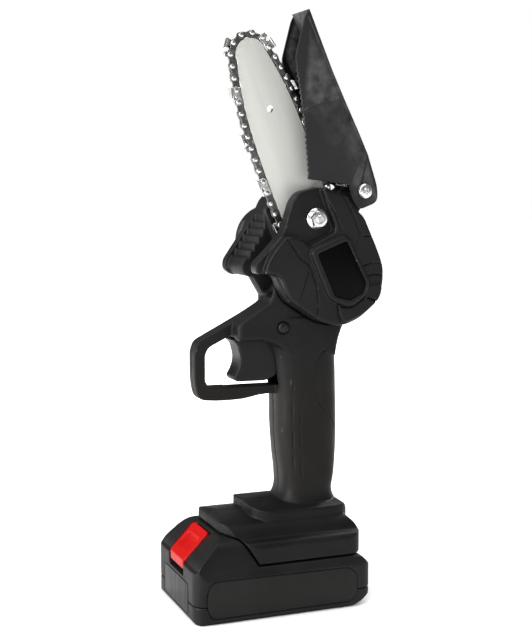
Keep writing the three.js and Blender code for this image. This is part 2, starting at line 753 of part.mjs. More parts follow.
function chainCompartment() {
  const room = outline([
    [21.2, 75], [20.6, 42], [23.2, 33, 2], [24.4, 14.8, 5], [24.4, 4, 6], [19.4, -7.6, 6],
    [5, -15.3, 5], [-8.2, -15.5, 5], [-17.6, -9.4, 4], [-33, 10], [-60, 14], [-60, 75],
  ]);
  const behindChain = -6.2;
  const pad = outline([
    [-8.6, 19], [8.6, 19], [12.4, 36], [12.6, 62], [-12.6, 62], [-12.4, 36],
  ]);
  const frontSlot = outline([[-20.5, 75], [-20.5, 20], [-33, 12], [-60, 14], [-60, 75]]);
  return joined(
    cut(
      solidOf(slabY(room, -14, behindChain), HEAD_FRAME),
      solidOf(slabY(pad, BAR_PAD_Y, -6), HEAD_FRAME),
    ),
    solidOf(slabY(frontSlot, -14, SLOT_FAR_Y, { steps: 1 }), HEAD_FRAME),
  );
}

// The lug between the chain guard's plates.
function guardLug() {
  const web = outline([
    [33, 52, 2], [39.5, 46, 4], [38, 39.4, 4], [29, 35, 3], [24.6, 28], [12, 28], [12, 51], [20, 49.4],
    [26, 50.8, 3],
  ]);
  return joined(
    solidOf(slabY(web, -12.9, -0.7), HEAD_FRAME),
    solidOf(rodY(GUARD_X, GUARD_Z, 7.2, -13, -0.7, 20), HEAD_FRAME),
    solidOf(rodY(GUARD_X, GUARD_Z, 4.8, -17.3, -12, 16), HEAD_FRAME),
  );
}

function motorBarrel() {
  return solidOf(rodY(MOTOR_X, MOTOR_Z, BARREL_RADIUS, HEAD_FAR_Y - 3, BARREL_END_Y, 36), HEAD_FRAME);
}

// Grip sections from the foot up: [z, front x, rear x, half depth].
const GRIP_SECTIONS = [
  [49, 1, 46, 19], [53, 4, 43.2, 18], [57, 7.2, 40.4, 16.8], [62, 9.2, 38.9, 16],
  [70, 9.2, 40.2, GRIP_HALF_DEPTH], [84, 7.6, 41.4, GRIP_HALF_DEPTH],
  [100, 6.4, 41.7, GRIP_HALF_DEPTH], [115, 6.2, 41.4, GRIP_HALF_DEPTH],
  [128, 4.6, 41.2, GRIP_HALF_DEPTH], [140, 2.6, 41, GRIP_HALF_DEPTH],
  [150, -3, 42.6, GRIP_HALF_DEPTH], [160, -8, 46.6, GRIP_HALF_DEPTH],
];

// The block above the trigger; its front is set back on the motor's side.
function handleBlock() {
  const rear = [
    [20, 190], [54, 178, 5], [46.5, 163, 8], [40.5, 150, 6], [38, 138], [10, 138], [5, 144, 4],
    [-5, 148, 4],
  ];
  const near = outline([[-19.9, 148, 3], [-19.9, 157.6, 3], [-1.2, 169.8, 3], [0.5, 178], ...rear]);
  const far = outline([[-15.4, 148, 3], [-15.4, 154.4, 2], [2.4, 166.6, 2], [2.4, 178], ...rear]);
  return joined(
    solidOf(slabY(near, -BLOCK_HALF_DEPTH, 3, { edge: 3 })),
    solidOf(slabY(far, -4, BLOCK_HALF_DEPTH, { edge: 3 })),
  );
}

// The step in the handle's near side that the cover's lower edge sits in.
function coverSeat() {
  const grown = movedOut(coverFace().extractPoints(2).shape.slice(0, -1), 0.6);
  return solidOf(slabY(new THREE.Shape(grown), -20, COVER_RIM_Y + GAP), HEAD_FRAME);
}

// The finger loop, and above it the neck that carries it up to the bumper.
function guardLoop() {
  const outer = outline([
    [12, 186], [-8.6, 184.6], [-4.2, 180.8, 3], [-0.3, 175, 5], [0.2, 170.4, 4], [-2.2, 168, 3],
    [-11.6, 162.4, 6], [-39.6, 148, 5], [-41.6, 142.5, 5], [-41.6, 126, 5], [-39.4, 115.8, 7],
    [-27, 114.7, 4], [-13.3, 114.9, 8], [-2.1, 117.2, 6], [12, 116.8],
  ]);
  const fingerRoom = outline([
    [-14, 154], [-33.4, 144.6, 4], [-35.5, 140.6, 4], [-35.5, 125.8, 4], [-33, 122.6, 3],
    [9, 121.9], [9, 154],
  ]);
  return cut(
    solidOf(slabY(outer, -LOOP_HALF_DEPTH, LOOP_HALF_DEPTH, { edge: 0.9 })),
    solidOf(slabY(fingerRoom, -LOOP_HALF_DEPTH - 1, LOOP_HALF_DEPTH + 1)),
  );
}

// A body cut to a side outline (X, Z), a front outline (Y, Z) and a plan outline (X, Y).
function carved(side, front, plan, depth, reach, bottom, top) {
  return solidOf(slabY(side, -depth, depth))
    .intersect(solidOf(slabX(front, -reach, reach)))
    .intersect(solidOf(slabZ(plan, bottom, top)));
}

function footBody() {
  const depth = FOOT_HALF_DEPTH;
  const lower = carved(
    outline([
      [-14.2, FOOT_BOTTOM_Z], [-21.2, 40.4, 2], [-24.6, 43.4, 2], [-33.4, 45.2, 2],
      [-31.8, 50.6, 2], [-26, 53.6, 3], [36, 53.6, 8], [47.2, 43, 5], [47.2, FOOT_BOTTOM_Z, 3],
    ]),
    outline([
      [-depth, 25], [-depth, 38.8, 2], [-31.6, 41, 1], [-27.2, 41.8, 1], [-25.4, 46.4, 2],
      [-22, 49.6, 3], [0, 53.6, 12], [22, 49.6, 3], [25.4, 46.4, 2], [27.2, 41.8, 1],
      [31.6, 41, 1], [depth, 38.8, 2], [depth, 25],
    ]),
    outline([
      [-34, -18, 10], [-20, -depth, 6], [47.2, -depth, 9], [47.2, depth, 9], [-20, depth, 6],
      [-34, 18, 10],
    ]),
    depth, 60, 20, 60,
  );
  const saddle = carved(
    outline([
      [-12.8, 50], [-12.8, 57.5, 2], [8, 57.5], [40, 57.5, 8], [46, 48, 3], [46, 44], [-8, 44],
    ]),
    outline([
      [-22.6, 42], [-22.6, 54.4, 1.5], [-17, 56.2, 4], [0, 57.6, 12], [17, 56.2, 4],
      [22.6, 54.4, 1.5], [22.6, 42],
    ]),
    outline([
      [-12.8, -16, 8], [-6, -22.6, 6], [45, -22.6, 12], [45, 22.6, 12], [-6, 22.6, 6],
      [-12.8, 16, 8],
    ]),
    depth, 60, 40, 60,
  );
  return joined(lower, saddle);
}

function batteryChannel() {
  return joined(
    solidOf(block(-40, 42.5, -24.4, 24.4, 20, 40.3)),
    solidOf(block(-40, 42.5, -26.4, 26.4, 33, 36.3)),
  );
}

// Everything hollow inside the two housing halves.
function housingRooms() {
  const wall = 2.6;
  const gripRoom = column(GRIP_SECTIONS.slice(4, 11), wall);
  const gearY1 = 10.3;
  return [
    solidOf(gripRoom),
    solidOf(block(14, 42.8, -9, 9, 39, 50.6)),
    solidOf(block(14, 36, -9, 9, 50, 74)),
    solidOf(block(-15.5, 14, -TRIGGER_HALF_DEPTH - 0.5, TRIGGER_HALF_DEPTH + 0.5, 122.2, 160)),
    solidOf(block(-22.2, -15, -TRIGGER_HALF_DEPTH - 0.5, TRIGGER_HALF_DEPTH + 0.5, 122.2, 149.8)),
    solidOf(block(10, 32, -9, 13, 140, 160)),
    solidOf(rodY(LOCK_BUTTON.x, LOCK_BUTTON.z, 3.4, -20, 20, 16)),
    solidOf(rodY(0, SPROCKET_Z, GEAR_PITCH_RADIUS + 1, 0.6, gearY1, 32), HEAD_FRAME),
    solidOf(rodY(MOTOR_X, MOTOR_Z, 14, 1, gearY1, 24), HEAD_FRAME),
    solidOf(slabY(gearboxPlateShape(GAP), 0.6, 12.9), HEAD_FRAME),
    solidOf(rodY(MOTOR_X, MOTOR_Z, MOTOR_RADIUS + GAP, 12, 60, 32), HEAD_FRAME),
    solidOf(rodY(0, SPROCKET_Z, 8.3, 12, 17.6), HEAD_FRAME),
    solidOf(rodY(0, SPROCKET_Z, 9.7, -5.7, 2), HEAD_FRAME),
    solidOf(rodY(0, SPROCKET_Z, 6.6, -10, 2), HEAD_FRAME),
    solidOf(rodY(0, STUD_Z, 2.6, -10, 2, 16), HEAD_FRAME),
    solidOf(rodY(0, STUD_Z, 4.9, -4.5, 2, 16), HEAD_FRAME),
    solidOf(block(4.9, 11.5, -8, -3.1, 26, 47), HEAD_FRAME),
    solidOf(rodZ(8.2, -5.1, 1.9, 24, 60, 12), HEAD_FRAME),
    solidOf(rodZ(8.2, -5.1, 2.8, 49.6, 64, 12), HEAD_FRAME),
    solidOf(rodY(GUARD_X, GUARD_Z, 2.2, -20, 2, 16), HEAD_FRAME),
  ];
}

// Housing screws, all with their heads on the motor's side.
const HOUSING_SCREWS = [
  { x: 17, z: 105.4 }, { x: 33.5, z: 67 }, { x: 35.6, z: 112 }, { x: 13, z: 165 },
  { x: 16.9, z: 224.5 },
];
const SCREW_SEAT = 9.8;

function addHousing() {
  const whole = joined(
    headBlock(), chainCompartmentWall(), guardLug(), motorBarrel(), handleBlock(), guardLoop(),
    solidOf(column(GRIP_SECTIONS, 0)), footBody(),
  );
  const screwRooms = HOUSING_SCREWS.flatMap(({ x, z }) => [
    solidOf(rodY(x, z, 1.7, -6, 12, 12)),
    solidOf(rodY(x, z, 3.3, SCREW_SEAT - GAP, 30, 16)),
  ]);
  const hollow = cut(
    whole, coverSeat(), chainCompartment(), batteryChannel(), ...housingRooms(), ...screwRooms,
  );
  const nearHalf = solidOf(block(-100, 100, -60, -SEAM, 0, 400));
  const farHalf = solidOf(block(-100, 100, SEAM, 80, 0, 400));
  addPiece(saw, "housing_left", hollow.intersect(nearHalf), BODY_PLASTIC);
  addPiece(saw, "housing_right", hollow.intersect(farHalf), BODY_PLASTIC);

  HOUSING_SCREWS.forEach(({ x, z }, i) => {
    const screw = turnedY(x, z, [
      [0, -5.4], [1.4, -5.4], [1.4, SCREW_SEAT], [2.9, SCREW_SEAT],
      [2.9, SCREW_SEAT + 2.1], [0, SCREW_SEAT + 2.1],
    ], 10);
    addPiece(saw, `housing_screw_${i + 1}`, solidOf(screw), DARK_STEEL);
  });
}

// The vented cap on the motor's end.
function addMotorCap() {
  const shell = solidOf(turnedY(MOTOR_X, MOTOR_Z, [
    [0, CAP_END_Y], [BARREL_RADIUS - 5, CAP_END_Y], [BARREL_RADIUS - 1.5, CAP_END_Y - 1.5],
    [BARREL_RADIUS, CAP_END_Y - 5], [BARREL_RADIUS, BARREL_END_Y + GAP],
    [BARREL_RADIUS - 2.4, BARREL_END_Y + GAP], [BARREL_RADIUS - 2.4, CAP_END_Y - 3],
    [0, CAP_END_Y - 3],
  ].reverse(), 36));
  const vents = [];
  const ventCount = 5;
  for (let i = 0; i < ventCount; i += 1) {
    const z = MOTOR_Z + (i - (ventCount - 1) / 2) * 5;
    const half = 11 - Math.abs(i - 2) * 1.8;
    vents.push(solidOf(block(MOTOR_X - half, MOTOR_X + half, 45, 52, z - 1, z + 1)));
  }
  addPiece(head, "motor_cap", cut(shell, ...vents), BODY_PLASTIC);
}

// ---------------------------------------------------------------- trigger and switch

function addTrigger() {
  const side = outline([
    [-20.8, 148.6, 1.5], [-17.6, 146, 4], [-15.6, 138.5, 8], [-16.4, 133, 6], [-19.6, 127.4, 2],
    [-17.8, 125.2, 1.5], [-1, 125, 2], [6.6, 128, 4], [9.4, 137, 6], [7.4, 146, 4],
    [0.5, 150, 4], [-1.5, 157, 4], [-11.5, 158, 4], [-14.4, 149.6, 2],
  ]);
  const body = cut(
    solidOf(slabY(side, -TRIGGER_HALF_DEPTH, TRIGGER_HALF_DEPTH, { edge: 0.7 })),
    solidOf(rodY(TRIGGER_PIVOT.x, TRIGGER_PIVOT.z, 1.7, -9, 9, 12)),
  );
  addPiece(saw, "trigger", body, TRIGGER_PLASTIC);
  addPiece(saw, "trigger_pin", solidOf(rodY(TRIGGER_PIVOT.x, TRIGGER_PIVOT.z, 1.4, -7.7, 7.7, 12)),
    BRIGHT_STEEL);

  const switchBody = cut(
    solidOf(block(18.5, 36, -7.5, 7.5, 124, 144)),
    solidOf(rodX(0, 136, 2.3, 17, 27, 12)),
  );
  addPiece(saw, "switch_body", switchBody, BLACK_PLASTIC);
  addPiece(saw, "switch_plunger", solidOf(rodX(0, 136, 2, 9.8, 22, 12)), RED_PLASTIC);

  const coil = spring(3, 0.4, 7.4, 4).rotateY(Math.PI / 2).translate(10.4, 0, 129.6);
  addPiece(saw, "trigger_spring", solidOf(coil), BRIGHT_STEEL);

  const button = solidOf(turnedY(LOCK_BUTTON.x, LOCK_BUTTON.z, [
    [0, -17.2], [2.4, -17.2], [3, -16.6], [3, 12.8], [0, 12.8],
  ], 16));
  addPiece(saw, "lock_button", button, TRIGGER_PLASTIC);
}

// ---------------------------------------------------------------- battery and its socket

const BATTERY_PLAN = outline([
  [BATTERY_FRONT_X, -BATTERY_HALF_DEPTH, 9], [BATTERY_REAR_X, -BATTERY_HALF_DEPTH, 7],
  [BATTERY_REAR_X, BATTERY_HALF_DEPTH, 7], [BATTERY_FRONT_X, BATTERY_HALF_DEPTH, 9],
]);

function batteryBody() {
  const depth = BATTERY_HALF_DEPTH;
  const tray = carved(
    outline([
      [-50.5, 0, 2], [40.3, 0, 2], [BATTERY_REAR_X, 7, 2], [BATTERY_REAR_X, 22.2, 2],
      [45.6, BATTERY_TOP_Z, 1], [BATTERY_FRONT_X, BATTERY_TOP_Z, 1], [BATTERY_FRONT_X, 2, 1],
    ]),
    outline([
      [-34.5, 0], [-depth, 2.5, 1], [-depth, 24, 2], [-33.6, BATTERY_TOP_Z, 1],
      [33.6, BATTERY_TOP_Z, 1], [depth, 24, 2], [depth, 2.5, 1], [34.5, 0],
    ]),
    BATTERY_PLAN, depth, 60, -1, 60,
  );
  const hump = carved(
    outline([
      [-50.9, 26, 1], [-48, 31.8, 3], [-34.2, 44.6, 3], [-25.2, 42.8, 2], [-21.8, 40, 2],
      [-14.9, 28.4], [-14.9, 24],
    ]),
    outline([
      [-33.6, 24], [-33.2, 29, 3], [-29.4, 40.5, 4], [-22, 44.8, 6], [22, 44.8, 6],
      [29.4, 40.5, 4], [33.2, 29, 3], [33.6, 24],
    ]),
    BATTERY_PLAN, depth, 60, 20, 60,
  );
  const rail = joined(
    solidOf(block(-24, 38.3, -24, 24, 27, 33.4)),
    solidOf(block(-24, 38.3, -26, 26, 33.4, 35.9)),
    solidOf(block(-24, 38.3, -24, 24, 35.9, 37.4)),
  );
  return joined(tray, hump, rail);
}

// The release button lies in the hump's sloping front, in a frame along the slope.
const BUTTON_SLOPE = Math.atan2(15.4, 15);
const buttonFrame = new THREE.Matrix4()
  .makeRotationY(-BUTTON_SLOPE)
  .setPosition(-42.2, 0, 36.6);

function releasePocket() {
  return joined(
    solidOf(block(-11.4, 9.6, -12.6, 12.6, -5.6, 10), buttonFrame),
    solidOf(block(-60, -46, -12.6, 12.6, 21.5, 29.6)),
  );
}

// The label panels: one on each long side and one on the front.
const LABEL_THICKNESS = 0.7;
const SIDE_LABEL = [
  [-45.2, 17.4, 5], [-42, 23.4, 3], [37.6, 22.6, 3], [42.2, 18.6, 2], [42.2, 7.6, 2], [38.2, 3.6, 2],
  [-42.4, 3.6, 3], [-45.2, 9, 4],
];

function sideLabel(side, grow) {
  const points = outline(SIDE_LABEL).extractPoints(2).shape.slice(0, -1);
  const outer = BATTERY_HALF_DEPTH + (grow > 0 ? 1 : 0);
  const inner = BATTERY_HALF_DEPTH - LABEL_THICKNESS - grow;
  const shape = new THREE.Shape(movedOut(points, grow));
  return solidOf(slabY(shape, Math.min(side * outer, side * inner),
    Math.max(side * outer, side * inner)));
}

function frontLabel(grow) {
  const outer = BATTERY_FRONT_X - (grow > 0 ? 1 : 0);
  const shape = rectangle(-21 - grow, 21 + grow, 3 - grow, 19.4 + grow, 2.5);
  return solidOf(slabX(shape, outer, BATTERY_FRONT_X + LABEL_THICKNESS + grow));
}

function addBattery() {
  const body = batteryBody();
  const cells = cellPlaces();
  const cellRooms = cells.map((x) => solidOf(
    rodY(x, 11.4, CELL_RADIUS + 0.2, -CELL_LENGTH / 2 - 0.5, CELL_LENGTH / 2 + 0.5, 20),
  ));
  const rooms = [
    ...cellRooms,
    solidOf(block(-45, 44, -32, 32, 11.4, 25.4)),
    solidOf(block(2.7, 39, -16.3, 16.3, 24, 39)),
    releasePocket(),
    sideLabel(-1, SEAM),
    sideLabel(1, SEAM),
    frontLabel(SEAM),
  ];
  const upperHalf = solidOf(block(-90, 90, -60, 60, CASE_SEAM_Z + SEAM, 60));
  const lowerHalf = solidOf(block(-90, 90, -60, 60, -5, CASE_SEAM_Z - SEAM));
  const hollow = cut(body, ...rooms);
  addPiece(saw, "battery_case_upper", hollow.intersect(upperHalf), BODY_PLASTIC);
  addPiece(saw, "battery_case_lower", hollow.intersect(lowerHalf), BODY_PLASTIC);

  addPiece(saw, "battery_label_near", sideLabel(-1, 0), LABEL_FILM);
  addPiece(saw, "battery_label_far", sideLabel(1, 0), LABEL_FILM);
  addPiece(saw, "battery_label_front", frontLabel(0), LABEL_FILM);

  cells.forEach((x, i) => {
    const half = CELL_LENGTH / 2;
    const cell = solidOf(turnedY(x, 11.4, [
      [0, -half], [CELL_RADIUS, -half], [CELL_RADIUS, half - 1.2], [3, half - 1.2], [3, half],
      [0, half],
    ], 14));
    addPiece(saw, `cell_${i + 1}`, cell, CELL_WRAP);
  });

  addPiece(saw, "battery_board", solidOf(block(-42, 42, -29, 29, 21.4, 23)), BOARD_GREEN);

  const bladeSlots = [-10, 0, 10].map((y) => solidOf(block(10, 40, y - 0.9, y + 0.9, 30.6, 39)));
  const terminals = cut(solidOf(block(3, 37.8, -16, 16, 24, 37.2)), ...bladeSlots);
  addPiece(saw, "battery_terminals", terminals, BLACK_PLASTIC);

  const button = joined(
    solidOf(slabZ(rectangle(-11, 9.2, -12, 12, 2.5), -1.6, 1.6, { edge: 0.6 }), buttonFrame),
    solidOf(block(-6, 6, -8, 8, -3, 0), buttonFrame),
    solidOf(block(-51.1, -48.9, -11.4, 11.4, 24.6, 30)),
  );
  addPiece(saw, "release_button", button, RED_PLASTIC);
  const coil = spring(2.6, 0.4, 1.7, 2).translate(0, 0, -5.2);
  addPiece(saw, "release_spring", solidOf(coil, buttonFrame), BRIGHT_STEEL);
}

function cellPlaces() {
  const first = -36.4;
  return Array.from({ length: CELL_COUNT }, (_, i) => first + i * CELL_PITCH);
}

function addFootTerminals() {
  const blades = [-10, 0, 10].map((y) => solidOf(block(16, 42.2, y - 0.5, y + 0.5, 31.4, 36.8)));
  const holder = joined(
    solidOf(block(15, 35.4, -8.4, 8.4, 40.6, 50)),
    solidOf(block(38.8, 42.2, -14, 14, 30.6, 40)),
    solidOf(block(30, 42.2, -8.4, 8.4, 37.8, 44)),
    ...blades,
  );
  addPiece(saw, "foot_terminals", holder, BLACK_PLASTIC);
}

// ---------------------------------------------------------------- wiring

function addWires() {
  const radius = 1;
  const routes = {
    wire_supply_red: [
      RED_WIRE, [[19, -4, 50.6], [19, -5, 70], [17, -5, 95], [22, -4, 112], [24, -4, 123.4]],
    ],
    wire_supply_black: [
      BLACK_WIRE, [[31, 4, 50.6], [31, 5, 70], [34, 5, 95], [32, 4, 112], [31, 4, 123.4]],
    ],
    wire_motor_red: [
      RED_WIRE, [[24, -3, 144.6], [24, -2, 149], [23.5, 3, 154], [23, 8, 158]],
    ],
    wire_motor_black: [
      BLACK_WIRE, [[30, 3, 144.6], [30, 4, 149], [29.5, 6, 154], [29, 10, 158]],
    ],
  };
  Object.entries(routes).forEach(([name, [look, points]]) => {
    addPiece(saw, name, solidOf(wireTube(points, radius)), look);
  });
}

addHousing();
addMotorCap();
addGuideBar();
addSawChain();
addDrive();
addMotor();
addBarClamp();
addTensioner();
addChainGuard();
addSprocketCover();
addTrigger();
addBattery();
addFootTerminals();
addWires();

export default saw;
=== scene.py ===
"""Looks of the one-hand battery chainsaw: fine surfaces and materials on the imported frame.

Outlines are in millimetres, in two frames that the CAD shares: the row frame, with
+Z up the grip, -X to the front and -Y towards the sprocket cover, and the head frame,
tilted 21 degrees forward about Y, with +Z along the guide bar.
"""

import math
import random

import bmesh
import bpy
from mathutils import Matrix, Vector


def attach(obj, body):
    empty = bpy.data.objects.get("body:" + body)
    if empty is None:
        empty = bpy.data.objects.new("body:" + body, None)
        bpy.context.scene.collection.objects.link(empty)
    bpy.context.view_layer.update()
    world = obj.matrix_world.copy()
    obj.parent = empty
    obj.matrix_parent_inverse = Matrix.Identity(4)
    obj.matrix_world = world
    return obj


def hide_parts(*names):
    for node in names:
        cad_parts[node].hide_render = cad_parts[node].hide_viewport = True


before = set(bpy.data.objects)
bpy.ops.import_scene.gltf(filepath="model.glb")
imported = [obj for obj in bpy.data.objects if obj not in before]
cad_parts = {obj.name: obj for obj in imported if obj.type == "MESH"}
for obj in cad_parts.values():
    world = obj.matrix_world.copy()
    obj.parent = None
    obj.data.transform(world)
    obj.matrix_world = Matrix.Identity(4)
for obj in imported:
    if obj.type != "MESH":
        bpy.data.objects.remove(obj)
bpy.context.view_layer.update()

MM = 0.001

# ---------------------------------------------------------------- shared dimensions (mm)

HEAD_TILT = math.radians(21)
HEAD_X = 37.9
HEAD_Z = 175.2
ROW = Matrix.Identity(4)
HEAD = Matrix.Translation((HEAD_X, 0, HEAD_Z)) @ Matrix.Rotation(-HEAD_TILT, 4, "Y")

PITCH = 6.35
DRIVE_LINKS = 27
RIVETS = 2 * DRIVE_LINKS
CHAIN_Y = -9
BAR_THICKNESS = 3
RIVET_HEIGHT = 2.7
SPROCKET_TEETH = 6
SPROCKET_PITCH_RADIUS = 2 * SPROCKET_TEETH * PITCH / (2 * math.pi)
SPROCKET_Z = 1.9
BAR_WIDEST_Z = 72
BAR_HALF_WIDTH = 15.05
BAR_RAIL_LOW_Z = 36
NOSE_RADIUS = 9
NOSE_CENTRE_Z = 135.4
NOSE_START = math.radians(15)
STUD_Z = 42

COVER_FACE_Y = -30
POCKET_FACE_Y = -22
STUD_END_Y = -28
COVER_RIM_Y = -13.4
BAR_PAD_Y = -7.3
SLOT_FAR_Y = -3
HEAD_FAR_Y = 25
BARREL_END_Y = 38
CAP_END_Y = 50
MOTOR_X = -6.2
MOTOR_Z = 29.2
MOTOR_RADIUS = 17.9
BARREL_RADIUS = 21
GEAR_TEETH = 42
PINION_TEETH = 14

GUARD_X = 33.1
GUARD_Z = 45.3
GUARD_NEAR_Y = -19.3
GUARD_FAR_Y = 1.3
GUARD_PLATE = 1.6

GRIP_HALF_DEPTH = 16
BLOCK_HALF_DEPTH = 15.5
LOOP_HALF_DEPTH = 5
TRIGGER_HALF_DEPTH = 7.5
TRIGGER_PIVOT = (-7, 153)
LOCK_BUTTON = (6.2, 155)
FOOT_HALF_DEPTH = 33.4
FOOT_BOTTOM_Z = 29.3

BATTERY_FRONT_X = -51.5
BATTERY_REAR_X = 51.3
BATTERY_HALF_DEPTH = 36
BATTERY_TOP_Z = 28.3
CASE_SEAM_Z = 10

SEAM = 0.15
GAP = 0.3

# ---------------------------------------------------------------- outlines


def towards(start, end, distance):
    return start + (end - start).normalized() * distance


def outline(corners, steps=6):
    """Points of a closed outline through corners (a, b, radius); no radius is sharp."""
    points = []
    count = len(corners)
    for i, corner in enumerate(corners):
        here = Vector(corner[:2])
        radius = corner[2] if len(corner) > 2 else 0
        before = Vector(corners[i - 1][:2])
        after = Vector(corners[(i + 1) % count][:2])
        reach = min(radius, 0.45 * min((here - before).length, (here - after).length))
        if reach == 0:
            points.append(here)
            continue
        start = towards(here, before, reach)
        end = towards(here, after, reach)
        for k in range(steps + 1):
            t = k / steps
            points.append(start * (1 - t) ** 2 + here * 2 * t * (1 - t) + end * t ** 2)
    return points


def rectangle(a0, a1, b0, b1, radius=0.0):
    return outline([(a0, b0, radius), (a1, b0, radius), (a1, b1, radius), (a0, b1, radius)])


def disc(a, b, radius, sides=48):
    angles = [2 * math.pi * i / sides for i in range(sides)]
    return [Vector((a + radius * math.cos(t), b + radius * math.sin(t))) for t in angles]


def hexagon(a, b, radius, turn=0.0):
    angles = [math.pi / 3 * k + turn for k in range(6)]
    return [Vector((a + radius * math.cos(t), b + radius * math.sin(t))) for t in angles]


def signed_area(points):
    return 0.5 * sum(p.x * q.y - q.x * p.y for p, q in zip(points, points[1:] + points[:1]))


def moved_out(points, distance):
    """A closed line moved outward by a distance."""
    side = 1 if signed_area(points) > 0 else -1
    count = len(points)
    moved = []
    for i, point in enumerate(points):
        along = points[(i + 1) % count] - points[i - 1]
        outward = Vector((along.y, -along.x)).normalized()
        moved.append(point + outward * side * distance)
    return moved


# ---------------------------------------------------------------- closed meshes


def new_object(name, vertices, faces, place=ROW):
    """A mesh object from points in millimetres, placed by a frame."""
    mesh = bpy.data.meshes.new(name)
    mesh.from_pydata([(place @ Vector(v)) * MM for v in vertices], [], faces)
    work = bmesh.new()
    work.from_mesh(mesh)
    bmesh.ops.remove_doubles(work, verts=work.verts, dist=1e-7)
    bmesh.ops.recalc_face_normals(work, faces=work.faces)
    work.to_mesh(mesh)
    work.free()
    piece = bpy.data.objects.new(name, mesh)
    bpy.context.scene.collection.objects.link(piece)
    return piece


def stacked(name, rings, to_point, place=ROW):
    """A closed skin over equal rings of points, with flat ends."""
    count = len(rings[0][0])
    vertices = [to_point(p, level) for ring, level in rings for p in ring]
    faces = []
    for r in range(len(rings) - 1):
        for i in range(count):
            j = (i + 1) % count
            a = r * count
            b = a + count
            faces.append((a + i, a + j, b + j, b + i))
    faces.append(tuple(range(count)))
    faces.append(tuple((len(rings) - 1) * count + i for i in range(count)))
    return new_object(name, vertices, faces, place)


def edge_rings(points, low, high, edge, edge_steps):
    if edge <= 0:
        return [(points, low), (points, high)]
    rings = []
    for k in range(edge_steps + 1):
        angle = 0.5 * math.pi * k / edge_steps
        inset = edge * (1 - math.sin(angle))
        rings.append((moved_out(points, -inset), low + edge * (1 - math.cos(angle))))
    top = [(ring, high - (level - low)) for ring, level in reversed(rings)]
    return rings + top


def slab_y(points, y0, y1, edge=0.0, place=ROW, edge_steps=3):
    """An outline in X and Z, as thick as from y0 to y1, with rounded edges."""
    rings = edge_rings(points, y0, y1, edge, edge_steps)
    return stacked("slab", rings, lambda p, y: (p.x, y, p.y), place)


def slab_z(points, z0, z1, edge=0.0, place=ROW, edge_steps=3):
    rings = edge_rings(points, z0, z1, edge, edge_steps)
    return stacked("slab", rings, lambda p, z: (p.x, p.y, z), place)


def slab_x(points, x0, x1, edge=0.0, place=ROW, edge_steps=3):
    """An outline in Y and Z, as thick as from x0 to x1."""
    rings = edge_rings(points, x0, x1, edge, edge_steps)
    return stacked("slab", rings, lambda p, x: (x, p.x, p.y), place)


def block(x0, x1, y0, y1, z0, z1, place=ROW):
    return slab_z(rectangle(x0, x1, y0, y1), z0, z1, place=place)


def rod_y(x, z, radius, y0, y1, place=ROW, sides=48):
    return slab_y(disc(x, z, radius, sides), y0, y1, place=place)


def rod_z(x, y, radius, z0, z1, place=ROW, sides=32):
    return slab_z(disc(x, y, radius, sides), z0, z1, place=place)


def turned_y(x, z, profile, place=ROW, sides=64, name="turned"):
    """A body turned about a Y axis; the profile lists (radius, y) off the axis."""
    rings = [(disc(x, z, radius, sides), y) for radius, y in profile]
    return stacked(name, rings, lambda p, y: (p.x, y, p.y), place)


def column(sections, inset=0.0, square=3.2, sides=96, levels=40):
    """A column through level sections (z, front x, rear x, half depth), smoothly joined."""
    rings = []
    low, high = sections[0][0], sections[-1][0]
    for k in range(levels + 1):
        z = low + (high - low) * k / levels
        front, rear, half = section_at(sections, z)
        ring = []
        for i in range(sides):
            angle = 2 * math.pi * i / sides
            c, s = math.cos(angle), math.sin(angle)
            reach = (rear - front) / 2 - inset
            x = math.copysign(abs(c) ** (2 / square), c) * reach
            y = math.copysign(abs(s) ** (2 / square), s) * (half - inset)
            ring.append(Vector(((front + rear) / 2 + x, y)))
        rings.append((ring, z))
    return stacked("column", rings, lambda p, z: (p.x, p.y, z))


def section_at(sections, z):
    """The section's front, rear and half depth at a height, on a smooth curve."""
    last = len(sections) - 2
    i = next((k for k in range(last) if z <= sections[k + 1][0]), last)
    before = sections[max(i - 1, 0)]
    start, end = sections[i], sections[i + 1]
    after = sections[min(i + 2, len(sections) - 1)]
    t = (z - start[0]) / (end[0] - start[0])
    return [hermite(before, start, end, after, n, t) for n in (1, 2, 3)]


def hermite(before, start, end, after, n, t):
    span = end[0] - start[0]
    slope_in = (end[n] - before[n]) / max(end[0] - before[0], 1e-6) * span
    slope_out = (after[n] - start[n]) / max(after[0] - start[0], 1e-6) * span
    t2, t3 = t * t, t * t * t
    return (
        (2 * t3 - 3 * t2 + 1) * start[n]
        + (t3 - 2 * t2 + t) * slope_in
        + (-2 * t3 + 3 * t2) * end[n]
        + (t3 - t2) * slope_out
    )


# ---------------------------------------------------------------- joining and cutting


def apply_modifiers(piece):
    """Bakes an object's modifiers into its mesh."""
    bpy.context.view_layer.update()
    graph = bpy.context.evaluated_depsgraph_get()
    baked = bpy.data.meshes.new_from_object(piece.evaluated_get(graph))
    old = piece.data
    piece.modifiers.clear()
    piece.data = baked
    bpy.data.meshes.remove(old)


def remove(piece):
    mesh = piece.data
    bpy.data.objects.remove(piece)
    bpy.data.meshes.remove(mesh)


def copied(piece):
    twin = piece.copy()
    twin.data = piece.data.copy()
    bpy.context.scene.collection.objects.link(twin)
    return twin


def combine(base, tools, operation):
    for tool in tools:
        boolean = base.modifiers.new(operation, "BOOLEAN")
        boolean.operation = operation
        boolean.solver = "MANIFOLD"
        boolean.object = tool
        apply_modifiers(base)
        remove(tool)
    return base


def joined(base, *tools):
    return combine(base, tools, "UNION")


def cut(base, *tools):
    return combine(base, tools, "DIFFERENCE")


def common(base, *tools):
    return combine(base, tools, "INTERSECT")


